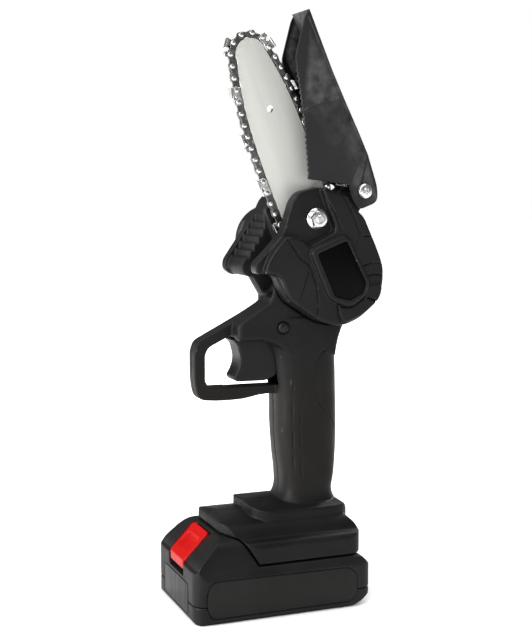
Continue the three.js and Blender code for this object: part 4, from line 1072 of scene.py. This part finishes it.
def make_guard():
    thickness = 1.9
    edge = 0.3
    inner = [(x - thickness, z) for x, z in GUARD_BACK][::-1]
    spine = slab_y(outline([*GUARD_BACK, *inner]), GUARD_NEAR_Y + 0.4, GUARD_FAR_Y - 0.4, place=HEAD)
    plates = [
        slab_y(guard_plate_shape(), y, y + GUARD_PLATE, edge=edge, place=HEAD)
        for y in (GUARD_NEAR_Y, GUARD_FAR_Y - GUARD_PLATE)
    ]
    crease = groove([(9, 97.5), (24, 99), (39, 97.2)], 0.5, GUARD_NEAR_Y - 1, GUARD_NEAR_Y + 0.12, HEAD)
    hem = groove([(40.2, 64), (39.1, 78), (37.4, 95.6), (36, 113), (35.2, 133), (34.8, 144)], 0.6,
                 GUARD_NEAR_Y - 1, GUARD_NEAR_Y + 0.2, HEAD)
    hole = rod_y(GUARD_X, GUARD_Z, 2.3, -22, 5, place=HEAD)
    guard = cut(joined(spine, *plates), hole, crease, hem)
    softened(guard, 0.1, segments=1, angle=50)
    show(guard, "guard_sleeve", GUARD, "guard", "chain_guard")
    # The plates' inside faces, in the narrow channel between them, take a near-black material: painted
    # shade.
    guard.data.materials.append(GUARD_PAINTED_SHADE)
    inside_near = (GUARD_NEAR_Y + GUARD_PLATE - GAP) * MM
    inside_far = (GUARD_FAR_Y - GUARD_PLATE + GAP) * MM
    for face in guard.data.polygons:
        if inside_near < face.center.y < inside_far and abs(face.normal.y) > 0.5:
            face.material_index = 1

    screw = cross_screw(GUARD_X, GUARD_Z, [
        (0.05, -22), (2.2, -22), (3.3, -21.7), (3.95, -21.1), (4.1, -20.6), (4.1, -20.2),
        (4.1, -19.6), (2, -19.6), (2, 4.4), (0.05, 4.4),
    ], reach=1.9, depth=0.9, place=HEAD)
    show(screw, "guard_screw", BRIGHT, "saw_body", "guard_pivot_screw")

    nut = cut(
        slab_y(hexagon(GUARD_X, GUARD_Z, 3.9), 1.6, 4.2, edge=0.3, place=HEAD),
        rod_y(GUARD_X, GUARD_Z, 2.2, 1, 5, place=HEAD),
    )
    softened(nut, 0.12)
    show(nut, "guard_nut", BRIGHT, "saw_body", "guard_pivot_nut")

    coil = wire_curve("guard_coil", guard_coil_points(), 0.5)
    show_curve(coil, DARK, "saw_body", "guard_spring")


def guard_coil_points():
    """The return spring: a coil about the pivot and a leg along the guard's lower edge."""
    turns = 2.4
    steps = 60
    radius = 6.1
    near, far = -16.3, -13.9
    points = [(19.6, near, 54.4), (21.2, near, 53.4), (27.5, near, 50.2)]
    start = math.radians(140)
    for i in range(steps + 1):
        share = i / steps
        angle = start - 2 * math.pi * turns * share
        y = near + (far - near) * share
        points.append((GUARD_X + radius * math.cos(angle), y, GUARD_Z + radius * math.sin(angle)))
    return points


def wire_curve(name, points, radius, place=HEAD):
    """A round wire along points, as a curve."""
    curve = bpy.data.curves.new(name, "CURVE")
    curve.dimensions = "3D"
    curve.bevel_depth = radius * MM
    curve.bevel_resolution = 3
    curve.use_fill_caps = True
    spline = curve.splines.new("POLY")
    spline.points.add(len(points) - 1)
    for point, target in zip(points, spline.points):
        target.co = (*((place @ Vector(point)) * MM), 1)
    spline.use_smooth = True
    piece = bpy.data.objects.new(name, curve)
    bpy.context.scene.collection.objects.link(piece)
    return piece


def show_curve(piece, material, body, *nodes):
    piece.data.materials.append(material)
    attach(piece, body)
    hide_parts(*nodes)


# ---------------------------------------------------------------- housing

GRIP_SECTIONS = [
    (49, 1, 46, 19), (53, 4, 43.2, 18), (57, 7.2, 40.4, 16.8), (62, 9.2, 38.9, 16),
    (70, 9.2, 40.2, GRIP_HALF_DEPTH), (84, 7.6, 41.4, GRIP_HALF_DEPTH),
    (100, 6.4, 41.7, GRIP_HALF_DEPTH), (115, 6.2, 41.4, GRIP_HALF_DEPTH),
    (128, 4.6, 41.2, GRIP_HALF_DEPTH), (140, 2.6, 41, GRIP_HALF_DEPTH),
    (150, -3, 42.6, GRIP_HALF_DEPTH), (160, -8, 46.6, GRIP_HALF_DEPTH),
]
HOUSING_SCREWS = [(17, 105.4), (33.5, 67), (35.6, 112), (13, 165), (16.9, 224.5)]
SCREW_SEAT = 9.8


def bumper_teeth():
    """The saw-toothed bumper edge, from its lowest tooth up to the head's top."""
    teeth = 6
    depth = 2
    tip = Vector((-38.6, 34.7))
    top = Vector((-16.6, 51.2))
    outward = Vector((-0.6, 0.8))
    points = []
    for i in range(teeth):
        root = tip.lerp(top, i / teeth) - outward * depth
        crest = tip.lerp(top, (i + 0.8) / teeth)
        points.extend([(root.x, root.y), (crest.x, crest.y)])
    return points


def head_block():
    """The head behind the chain, its bumper's smooth cheek and the cut beside the neck."""
    side = outline([
        *reversed(bumper_teeth()), (-39.4, 34), (-43.8, 30.7, 3), (-43.4, 25.4, 3),
        (-39.1, 22.5, 1), (-37.2, 11),
        (-20, -14), (-8.7, -17.8, 4), (5.5, -17.6, 6), (21, -9.5, 8), (26.9, 3, 8),
        (26.8, 14.8, 6), (25.5, 33.7, 3), (21.6, 40.1, 3), (19.8, 47.8, 3), (14.6, 52.3, 2),
        (8.8, 57.5, 4), (-4, 59.6, 3), (-11, 57, 3),
    ])
    cheek = outline([
        (-6, 58.6), (-8.3, 57.5, 2), (-43.9, 33.4, 4), (-46, 28.6, 3), (-42.6, 23.6, 3), (-37, 20),
        (-20, 20), (-6, 40),
    ])
    body = joined(
        slab_y(side, SLOT_FAR_Y, HEAD_FAR_Y, edge=0.6, place=HEAD),
        slab_y(cheek, HEAD_FAR_Y - 5.5, HEAD_FAR_Y, edge=0.6, place=HEAD),
    )
    beside_neck = block(-30, 8.5, LOOP_HALF_DEPTH + 0.5, HEAD_FAR_Y + 1, 160, 182.4)
    return cut(body, beside_neck)


def chain_compartment_wall():
    side = outline([
        (-20, 56), (-11.4, 55.1, 3), (-4, 59.1, 3), (8.8, 57.2, 4), (14.6, 52.3, 2),
        *HEAD_EDGE, (-31, 4, 4), (-31, 20),
    ])
    return slab_y(side, COVER_RIM_Y + GAP, SLOT_FAR_Y + 1, place=HEAD)


def chain_compartment():
    room = outline([
        (21.2, 75), (20.6, 42), (23.2, 33, 2), (24.4, 14.8, 5), (24.4, 4, 6), (19.4, -7.6, 6),
        (5, -15.3, 5), (-8.2, -15.5, 5), (-17.6, -9.4, 4), (-33, 10), (-60, 14), (-60, 75),
    ])
    pad = outline([(-8.6, 19), (8.6, 19), (12.4, 36), (12.6, 62), (-12.6, 62), (-12.4, 36)])
    front_slot = outline([(-20.5, 75), (-20.5, 20), (-33, 12), (-60, 14), (-60, 75)])
    behind_chain = -6.2
    hollow = cut(
        slab_y(room, -14, behind_chain, place=HEAD),
        slab_y(pad, BAR_PAD_Y, -6, place=HEAD),
    )
    return joined(hollow, slab_y(front_slot, -14, SLOT_FAR_Y, place=HEAD))


def guard_lug():
    web = outline([
        (33, 52, 2), (39.5, 46, 4), (38, 39.4, 4), (29, 35, 3), (24.6, 28), (12, 28), (12, 51),
        (20, 49.4), (26, 50.8, 3),
    ])
    return joined(
        slab_y(web, -12.9, -0.7, place=HEAD),
        rod_y(GUARD_X, GUARD_Z, 7.2, -13, -0.7, place=HEAD),
        rod_y(GUARD_X, GUARD_Z, 4.8, -17.3, -12, place=HEAD),
    )


def handle_block():
    """The block above the trigger; its front is set back on the motor's side."""
    rear = [
        (20, 190), (54, 178, 5), (46.5, 163, 8), (40.5, 150, 6), (38, 138), (10, 138), (5, 144, 4),
        (-5, 148, 4),
    ]
    near = outline([(-19.9, 148, 3), (-19.9, 157.6, 3), (-1.2, 169.8, 3), (0.5, 178), *rear])
    far = outline([(-15.4, 148, 3), (-15.4, 154.4, 2), (2.4, 166.6, 2), (2.4, 178), *rear])
    return joined(
        slab_y(near, -BLOCK_HALF_DEPTH, 3, edge=2.6, edge_steps=6),
        slab_y(far, -4, BLOCK_HALF_DEPTH, edge=2.6, edge_steps=6),
    )


def guard_loop():
    """The finger loop, and above it the neck that carries it up to the bumper."""
    outer = outline([
        (12, 186), (-8.6, 184.6), (-4.2, 180.8, 3), (-0.3, 175, 5), (0.2, 170.4, 4), (-2.2, 168, 3),
        (-11.6, 162.4, 6), (-39.6, 148, 5), (-41.6, 142.5, 5), (-41.6, 126, 5), (-39.4, 115.8, 7),
        (-27, 114.7, 4), (-13.3, 114.9, 8), (-2.1, 117.2, 6), (12, 116.8),
    ])
    finger_room = outline([
        (-14, 154), (-33.4, 144.6, 4), (-35.5, 140.6, 4), (-35.5, 125.8, 4), (-33, 122.6, 3),
        (9, 121.9), (9, 154),
    ])
    return cut(
        slab_y(outer, -LOOP_HALF_DEPTH, LOOP_HALF_DEPTH, edge=0.9),
        slab_y(finger_room, -LOOP_HALF_DEPTH - 1, LOOP_HALF_DEPTH + 1),
    )


def carved(side, front, plan, depth, reach, bottom, top):
    """A body cut to a side outline (X, Z), a front outline (Y, Z) and a plan (X, Y)."""
    return common(
        slab_y(side, -depth, depth), slab_x(front, -reach, reach), slab_z(plan, bottom, top)
    )


def foot_body():
    depth = FOOT_HALF_DEPTH
    lower = carved(
        outline([
            (-14.2, FOOT_BOTTOM_Z), (-21.2, 40.4, 2), (-24.6, 43.4, 2), (-33.4, 45.2, 2),
            (-31.8, 50.6, 2), (-26, 53.6, 3), (36, 53.6, 8), (47.2, 43, 5),
            (47.2, FOOT_BOTTOM_Z, 3),
        ]),
        outline([
            (-depth, 25), (-depth, 38.8, 2), (-31.6, 41, 1), (-27.2, 41.8, 1), (-25.4, 46.4, 2),
            (-22, 49.6, 3), (0, 53.6, 12), (22, 49.6, 3), (25.4, 46.4, 2), (27.2, 41.8, 1),
            (31.6, 41, 1), (depth, 38.8, 2), (depth, 25),
        ]),
        outline([
            (-34, -18, 10), (-20, -depth, 6), (47.2, -depth, 9), (47.2, depth, 9),
            (-20, depth, 6), (-34, 18, 10),
        ]),
        depth, 60, 20, 60,
    )
    saddle = carved(
        outline([
            (-12.8, 50), (-12.8, 57.5, 2), (8, 57.5), (40, 57.5, 8), (46, 48, 3), (46, 44),
            (-8, 44),
        ]),
        outline([
            (-22.6, 42), (-22.6, 54.4, 1.5), (-17, 56.2, 4), (0, 57.6, 12), (17, 56.2, 4),
            (22.6, 54.4, 1.5), (22.6, 42),
        ]),
        outline([
            (-12.8, -16, 8), (-6, -22.6, 6), (45, -22.6, 12), (45, 22.6, 12), (-6, 22.6, 6),
            (-12.8, 16, 8),
        ]),
        depth, 60, 40, 60,
    )
    return joined(lower, saddle)


def gearbox_plate_shape(grow):
    shaft_reach = 12 + grow
    motor_reach = 17 + grow
    return outline([
        (-shaft_reach, SPROCKET_Z - shaft_reach, 8), (shaft_reach, SPROCKET_Z - shaft_reach, 8),
        (MOTOR_X + motor_reach, MOTOR_Z, 4), (MOTOR_X + motor_reach, MOTOR_Z + motor_reach, 10),
        (MOTOR_X - motor_reach, MOTOR_Z + motor_reach, 10), (MOTOR_X - motor_reach, MOTOR_Z, 4),
    ])


def housing_rooms():
    """Everything hollow inside the two housing halves."""
    wall = 2.6
    channel = TRIGGER_HALF_DEPTH + 0.5
    button_x, button_z = LOCK_BUTTON
    return [
        column(GRIP_SECTIONS[4:11], inset=wall),
        block(14, 42.8, -9, 9, 39, 50.6),
        block(14, 36, -9, 9, 50, 74),
        block(-15.5, 14, -channel, channel, 122.2, 160),
        block(-22.2, -15, -channel, channel, 122.2, 149.8),
        block(10, 32, -9, 13, 140, 160),
        rod_y(button_x, button_z, 3.4, -20, 20),
        rod_y(0, SPROCKET_Z, GEAR_TEETH / 2 + 1, 0.6, 10.3, place=HEAD),
        rod_y(MOTOR_X, MOTOR_Z, 14, 1, 10.3, place=HEAD),
        slab_y(gearbox_plate_shape(GAP), 0.6, 12.9, place=HEAD),
        rod_y(MOTOR_X, MOTOR_Z, MOTOR_RADIUS + GAP, 12, 60, place=HEAD),
        rod_y(0, SPROCKET_Z, 8.3, 12, 17.6, place=HEAD),
        rod_y(0, SPROCKET_Z, 9.7, -5.7, 2, place=HEAD),
        rod_y(0, SPROCKET_Z, 6.6, -10, 2, place=HEAD),
        rod_y(0, STUD_Z, 2.6, -10, 2, place=HEAD),
        rod_y(0, STUD_Z, 4.9, -4.5, 2, place=HEAD),
        block(4.9, 11.5, -8, -3.1, 26, 47, HEAD),
        rod_z(8.2, -5.1, 1.9, 24, 60, place=HEAD),
        rod_z(8.2, -5.1, 2.8, 49.6, 64, place=HEAD),
        rod_y(GUARD_X, GUARD_Z, 2.2, -20, 2, place=HEAD),
    ]


def screw_rooms():
    rooms = []
    for x, z in HOUSING_SCREWS:
        rooms.append(rod_y(x, z, 1.7, -6, 12))
        rooms.append(rod_y(x, z, 3.3, SCREW_SEAT - GAP, 30))
    return rooms


def grip_grooves(side):
    """The inset lines on one side of the grip."""
    panel = [(17.2, 70.5), (17, 84), (16.4, 98), (17, 112), (19, 124), (21.6, 133)]
    rear_panel = [
        (31.4, 142), (27.6, 139.2), (25.6, 135), (25.4, 121), (27.4, 112.6), (33.6, 105.6),
        (37.6, 98),
    ]
    front_column = [(12.6, 122), (12.2, 108), (12.6, 92), (13.4, 72)]
    depth = 0.6
    core = column(GRIP_SECTIONS, inset=depth)
    y0, y1 = sorted((side * 20, side * 8))
    lines = [groove(line, 0.9, y0, y1) for line in (panel, rear_panel, front_column)]
    tools = [cut(line, copied(core)) for line in lines]
    remove(core)
    return tools


def make_housing():
    whole = joined(
        head_block(),
        chain_compartment_wall(),
        guard_lug(),
        rod_y(MOTOR_X, MOTOR_Z, BARREL_RADIUS, HEAD_FAR_Y - 3, BARREL_END_Y, HEAD, sides=96),
        handle_block(),
        guard_loop(),
        column(GRIP_SECTIONS),
        foot_body(),
    )
    cover_seat = slab_y(moved_out(cover_face(), 0.6), -20, COVER_RIM_Y + GAP, place=HEAD)
    channel = joined(
        block(-40, 42.5, -24.4, 24.4, 20, 40.3), block(-40, 42.5, -26.4, 26.4, 33, 36.3)
    )
    hollow = cut(
        whole, cover_seat, chain_compartment(), channel, *housing_rooms(), *screw_rooms(),
        *grip_grooves(-1), *grip_grooves(1),
    )
    halves = {
        "housing_near": ("housing_left", -60, -SEAM),
        "housing_far": ("housing_right", SEAM, 80),
    }
    for name, (node, y0, y1) in halves.items():
        half = common(copied(hollow), block(-100, 100, y0, y1, 0, 400))
        moulded(half, 0.45, passes=2, keep=0.3)
        show(half, name, BODY, "saw_body", node)
    remove(hollow)

    for i, (x, z) in enumerate(HOUSING_SCREWS, start=1):
        profile = [
            (0.05, SCREW_SEAT + 2.1), (2.2, SCREW_SEAT + 2.1), (2.8, SCREW_SEAT + 1.5),
            (2.9, SCREW_SEAT), (1.4, SCREW_SEAT), (1.4, -5.4), (0.05, -5.4),
        ]
        screw = cross_screw(x, z, profile, reach=1.6, depth=1.0)
        show(screw, f"case_screw_{i}", BLACKENED, "saw_body", f"housing_screw_{i}")


def make_motor_cap():
    """The vented cap on the motor's end."""
    outer = BARREL_RADIUS
    start = BARREL_END_Y + GAP
    shell = cut(
        turned_y(MOTOR_X, MOTOR_Z, [
            (0.05, CAP_END_Y), (outer - 5, CAP_END_Y), (outer - 3, CAP_END_Y - 0.6),
            (outer - 1.3, CAP_END_Y - 1.7), (outer - 0.3, CAP_END_Y - 3.4), (outer, CAP_END_Y - 5),
            (outer, start), (0.05, start),
        ], HEAD, sides=96),
        rod_y(MOTOR_X, MOTOR_Z, outer - 2.4, start - 1, CAP_END_Y - 3, place=HEAD, sides=96),
    )
    vents = []
    count = 5
    for i in range(count):
        z = MOTOR_Z + (i - (count - 1) / 2) * 5
        half = 11 - abs(i - 2) * 1.8
        slot = rectangle(MOTOR_X - half, MOTOR_X + half, z - 1, z + 1, 0.9)
        vents.append(slab_y(slot, 45, 52, place=HEAD))
    cap = cut(shell, *vents)
    softened(cap, 0.3, segments=3, angle=40)
    show(cap, "motor_end_cap", TRIGGER, "saw_body", "motor_cap")


# ---------------------------------------------------------------- trigger and lock


def make_trigger():
    side = outline([
        (-20.8, 148.6, 1.5), (-17.6, 146, 4), (-15.6, 138.5, 8), (-16.4, 133, 6),
        (-19.6, 127.4, 2), (-17.8, 125.2, 1.5), (-1, 125, 2), (6.6, 128, 4), (9.4, 137, 6),
        (7.4, 146, 4), (0.5, 150, 4), (-1.5, 157, 4), (-11.5, 158, 4), (-14.4, 149.6, 2),
    ])
    x, z = TRIGGER_PIVOT
    trigger = cut(
        slab_y(side, -TRIGGER_HALF_DEPTH, TRIGGER_HALF_DEPTH, edge=1.1, edge_steps=5),
        rod_y(x, z, 1.7, -9, 9),
    )
    moulded(trigger, 0.34, passes=2, keep=0.5)
    show(trigger, "trigger_lever", TRIGGER, "trigger_lever", "trigger")

    x, z = LOCK_BUTTON
    button = turned_y(x, z, [
        (0.05, -17.2), (1.2, -17.15), (2.2, -16.95), (2.75, -16.6), (3, -16), (3, 12.6),
        (2.8, 12.8), (0.05, 12.8),
    ])
    shade(button, 40)
    show(button, "lock_off_button", TRIGGER, "lock", "lock_button")


# ---------------------------------------------------------------- battery

BUTTON_FRAME = Matrix.Translation((-42.2, 0, 36.6)) @ Matrix.Rotation(-math.atan2(15.4, 15), 4, "Y")
CELL_LENGTH = 65
CELL_RADIUS = 9.1
CELLS = [-36.4 + 18.5 * i for i in range(5)]


def battery_plan():
    depth = BATTERY_HALF_DEPTH
    return outline([
        (BATTERY_FRONT_X, -depth, 9), (BATTERY_REAR_X, -depth, 7), (BATTERY_REAR_X, depth, 7),
        (BATTERY_FRONT_X, depth, 9),
    ], steps=10)


def battery_body():
    depth = BATTERY_HALF_DEPTH
    top = BATTERY_TOP_Z
    tray = carved(
        outline([
            (-50.5, 0, 2), (40.3, 0, 2), (BATTERY_REAR_X, 7, 2), (BATTERY_REAR_X, 22.2, 2),
            (45.6, top, 1), (BATTERY_FRONT_X, top, 1), (BATTERY_FRONT_X, 2, 1),
        ]),
        outline([
            (-34.5, 0), (-depth, 2.5, 1), (-depth, 24, 2), (-33.6, top, 1), (33.6, top, 1),
            (depth, 24, 2), (depth, 2.5, 1), (34.5, 0),
        ]),
        battery_plan(), depth, 60, -1, 60,
    )
    hump = carved(
        outline([
            (-50.9, 26, 1), (-48, 31.8, 3), (-34.2, 44.6, 3), (-25.2, 42.8, 2), (-21.8, 40, 2),
            (-14.9, 28.4), (-14.9, 24),
        ]),
        outline([
            (-33.6, 24), (-33.2, 29, 3), (-29.4, 40.5, 4), (-22, 44.8, 6), (22, 44.8, 6),
            (29.4, 40.5, 4), (33.2, 29, 3), (33.6, 24),
        ]),
        battery_plan(), depth, 60, 20, 60,
    )
    rail = joined(
        block(-24, 38.3, -24, 24, 27, 33.4),
        block(-24, 38.3, -26, 26, 33.4, 35.9),
        block(-24, 38.3, -24, 24, 35.9, 37.4),
    )
    return joined(tray, hump, rail)


LABEL_THICKNESS = 0.7


def side_label(side, grow, edge=0.0):
    """The label panel on one long side of the battery; grown, it cuts its own pocket."""
    panel = outline([
        (-45.2, 17.4, 5), (-42, 23.4, 3), (37.6, 22.6, 3), (42.2, 18.6, 2), (42.2, 7.6, 2),
        (38.2, 3.6, 2), (-42.4, 3.6, 3), (-45.2, 9, 4),
    ])
    outer = BATTERY_HALF_DEPTH + (1 if grow > 0 else 0)
    inner = BATTERY_HALF_DEPTH - LABEL_THICKNESS - grow
    return slab_y(moved_out(panel, grow), *sorted((side * outer, side * inner)), edge=edge)


def front_label(grow, edge=0.0):
    outer = BATTERY_FRONT_X - (1 if grow > 0 else 0)
    shape = rectangle(-21 - grow, 21 + grow, 3 - grow, 19.4 + grow, 2.5)
    return slab_x(shape, outer, BATTERY_FRONT_X + LABEL_THICKNESS + grow, edge=edge)


def release_pocket():
    return joined(
        block(-11.4, 9.6, -12.6, 12.6, -5.6, 10, BUTTON_FRAME),
        block(-60, -46, -12.6, 12.6, 21.5, 29.6),
    )


def make_battery():
    half = CELL_LENGTH / 2 + 0.5
    rooms = [rod_y(x, 11.4, CELL_RADIUS + 0.2, -half, half) for x in CELLS]
    rooms += [block(-45, 44, -32, 32, 11.4, 25.4), block(2.7, 39, -16.3, 16.3, 24, 39)]
    groove_width = 0.35
    pockets = [side_label(-1, groove_width), side_label(1, groove_width), front_label(groove_width)]
    hollow = cut(battery_body(), *rooms, release_pocket(), *pockets)
    halves = {
        "battery_shell_upper": ("battery_case_upper", CASE_SEAM_Z + SEAM, 60),
        "battery_shell_lower": ("battery_case_lower", -5, CASE_SEAM_Z - SEAM),
    }
    for name, (node, z0, z1) in halves.items():
        shell = common(copied(hollow), block(-90, 90, -60, 60, z0, z1))
        moulded(shell, 0.55, passes=2, keep=0.4)
        show(shell, name, BATTERY, "battery", node)
    remove(hollow)

    labels = {
        "near": side_label(-1, 0, edge=0.2),
        "far": side_label(1, 0, edge=0.2),
        "front": front_label(0, edge=0.2),
    }
    for place, label in labels.items():
        shade(label, 20)
        show(label, f"label_panel_{place}", LABEL, "battery", f"battery_label_{place}")


def make_release_button():
    cap = slab_z(rectangle(-11, 9.2, -12, 12, 2.5), -1.6, 1.6, edge=0.9, place=BUTTON_FRAME)
    finger = rod_y(-1, 13.2, 12.6, -8.5, 8.5, BUTTON_FRAME, sides=96)
    foot = block(-6, 6, -8, 8, -3, 0, BUTTON_FRAME)
    lip = slab_x(rectangle(-11.4, 11.4, 24.6, 30, 1.2), -51.1, -48.9, edge=0.5)
    button = cut(joined(cap, foot, lip), finger)
    moulded(button, 0.3, passes=3, keep=0.5)
    show(button, "battery_release", BUTTON, "release", "release_button")


# ---------------------------------------------------------------- gears


TOOTH_TIP = 0.65
TOOTH_ROOT = 0.95
LIGHTENING_HOLES = 6
LIGHTENING_CIRCLE = 12.4


def gear_outline(x, z, teeth, phase):
    """A module 1 spur gear's outline, with flanks that narrow to the tip."""
    tip = teeth / 2 + TOOTH_TIP
    root = teeth / 2 - TOOTH_ROOT
    points = []
    step = 2 * math.pi / teeth
    for i in range(teeth):
        middle = phase + i * step
        for radius, share in ((root, -0.30), (tip, -0.15), (tip, 0.15), (root, 0.30)):
            angle = middle + share * step
            points.append(Vector((x + radius * math.cos(angle), z + radius * math.sin(angle))))
    return points


def make_gears():
    line = math.atan2(MOTOR_Z - SPROCKET_Z, MOTOR_X)
    hole_middles = disc(0, SPROCKET_Z, LIGHTENING_CIRCLE, sides=LIGHTENING_HOLES)
    gear = cut(
        slab_y(gear_outline(0, SPROCKET_Z, GEAR_TEETH, line), 1.4, 8.2, place=HEAD),
        rod_y(0, SPROCKET_Z, 4.1, 0, 10, place=HEAD),
        *[rod_y(middle.x, middle.y, 3.4, 0, 10, place=HEAD) for middle in hole_middles],
    )
    softened(gear, 0.1, segments=1)
    show(gear, "reduction_gear", DARK, "output", "output_gear")

    half_tooth = math.pi / PINION_TEETH
    pinion = cut(
        slab_y(gear_outline(MOTOR_X, MOTOR_Z, PINION_TEETH, line + math.pi + half_tooth),
               1.6, 8.4, place=HEAD),
        rod_y(MOTOR_X, MOTOR_Z, 1.7, 0, 10, place=HEAD),
    )
    softened(pinion, 0.08, segments=1)
    show(pinion, "pinion_gear", DARK, "rotor", "motor_pinion")


# ---------------------------------------------------------------- carried-over nodes

CARRIED = {
    "drive_sprocket": DARK, "sprocket_clip": BRIGHT, "output_shaft": BRIGHT,
    "bearing_near": BRIGHT, "bearing_far": BRIGHT, "gearbox_plate": BRIGHT,
    "motor_can": DARK, "motor_end_bell": BLACK, "motor_rotor": COPPER,
    "motor_screw_1": BRIGHT, "motor_screw_2": BRIGHT, "tension_block": DARK,
    "tension_screw": BRIGHT, "trigger_pin": BRIGHT, "trigger_spring": BRIGHT,
    "switch_body": BLACK, "switch_plunger": RED, "foot_terminals": BLACK,
    "cell_1": CELL_WRAP, "cell_2": CELL_WRAP, "cell_3": CELL_WRAP, "cell_4": CELL_WRAP,
    "cell_5": CELL_WRAP, "battery_board": BOARD, "battery_terminals": BLACK,
    "release_spring": BRIGHT, "wire_supply_red": RED_WIRE, "wire_supply_black": BLACK_WIRE,
    "wire_motor_red": RED_WIRE, "wire_motor_black": BLACK_WIRE,
}


def finish_carried_nodes():
    for name, material in CARRIED.items():
        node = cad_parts[name]
        for i in range(len(node.data.materials)):
            node.data.materials[i] = material


# ---------------------------------------------------------------- studio

CAMERA_PLACE = (-0.2467, -0.6305, 0.2328)
CAMERA_AZIMUTH = math.radians(-21.529)
CAMERA_PITCH = math.radians(6.074)
CAMERA_LENS = 69.96


def add_area(name, place, target, size, power):
    light = bpy.data.lights.new(name, "AREA")
    light.shape = "RECTANGLE"
    light.size, light.size_y = size
    light.energy = power
    lamp = bpy.data.objects.new(name, light)
    lamp.location = place
    aim = Vector(target) - Vector(place)
    lamp.rotation_mode = "QUATERNION"
    lamp.rotation_quaternion = aim.to_track_quat("-Z", "Y")
    bpy.context.scene.collection.objects.link(lamp)


def make_studio():
    floor = bpy.data.meshes.new("floor")
    reach = 6.0
    floor.from_pydata(
        [(-reach, -reach, 0), (reach, -reach, 0), (reach, reach, 0), (-reach, reach, 0)], [],
        [(0, 1, 2, 3)],
    )
    floor.materials.append(floor_paper())
    sheet = bpy.data.objects.new("floor", floor)
    bpy.context.scene.collection.objects.link(sheet)

    bpy.context.scene.world = studio_world()
    bpy.context.scene.view_settings.view_transform = "Standard"

    middle = (0, 0, 0.16)
    add_area("key", (-0.8, -1.2, 1.2), middle, (0.5, 0.5), 15)
    add_area("rim", (1.0, 0.6, 0.8), middle, (0.3, 1.1), 18)
    add_area("side", (-1.4, -0.1, 0.5), middle, (0.35, 1.1), 34)
    add_area("top", (0.0, 0.0, 1.9), middle, (1.6, 1.6), 24)


def studio_world():
    """A white surround that lights the object more softly than it looks."""
    seen = 1.0
    lit = 0.2
    world = bpy.data.worlds.new("studio")
    world.use_nodes = True
    tree = world.node_tree
    background = tree.nodes["Background"]
    background.inputs["Color"].default_value = (1, 1, 1, 1)
    path = tree.nodes.new("ShaderNodeLightPath")
    strength = tree.nodes.new("ShaderNodeMapRange")
    strength.inputs["To Min"].default_value = lit
    strength.inputs["To Max"].default_value = seen
    tree.links.new(path.outputs["Is Camera Ray"], strength.inputs["Value"])
    tree.links.new(strength.outputs["Result"], background.inputs["Strength"])
    return world


def make_camera():
    camera = bpy.data.cameras.new("camera")
    camera.lens = CAMERA_LENS
    camera.sensor_width = 36
    back = Vector((
        math.sin(CAMERA_AZIMUTH) * math.cos(CAMERA_PITCH),
        -math.cos(CAMERA_AZIMUTH) * math.cos(CAMERA_PITCH),
        math.sin(CAMERA_PITCH),
    ))
    viewer = bpy.data.objects.new("camera", camera)
    viewer.location = CAMERA_PLACE
    viewer.rotation_mode = "QUATERNION"
    viewer.rotation_quaternion = (-back).to_track_quat("-Z", "Y")
    bpy.context.scene.collection.objects.link(viewer)
    bpy.context.scene.camera = viewer


make_camera()
make_studio()
make_guide_bar()
make_chain()
make_cover()
make_bar_clamp()
make_guard()
make_housing()
make_motor_cap()
make_trigger()
make_battery()
make_release_button()
make_gears()
finish_carried_nodes()
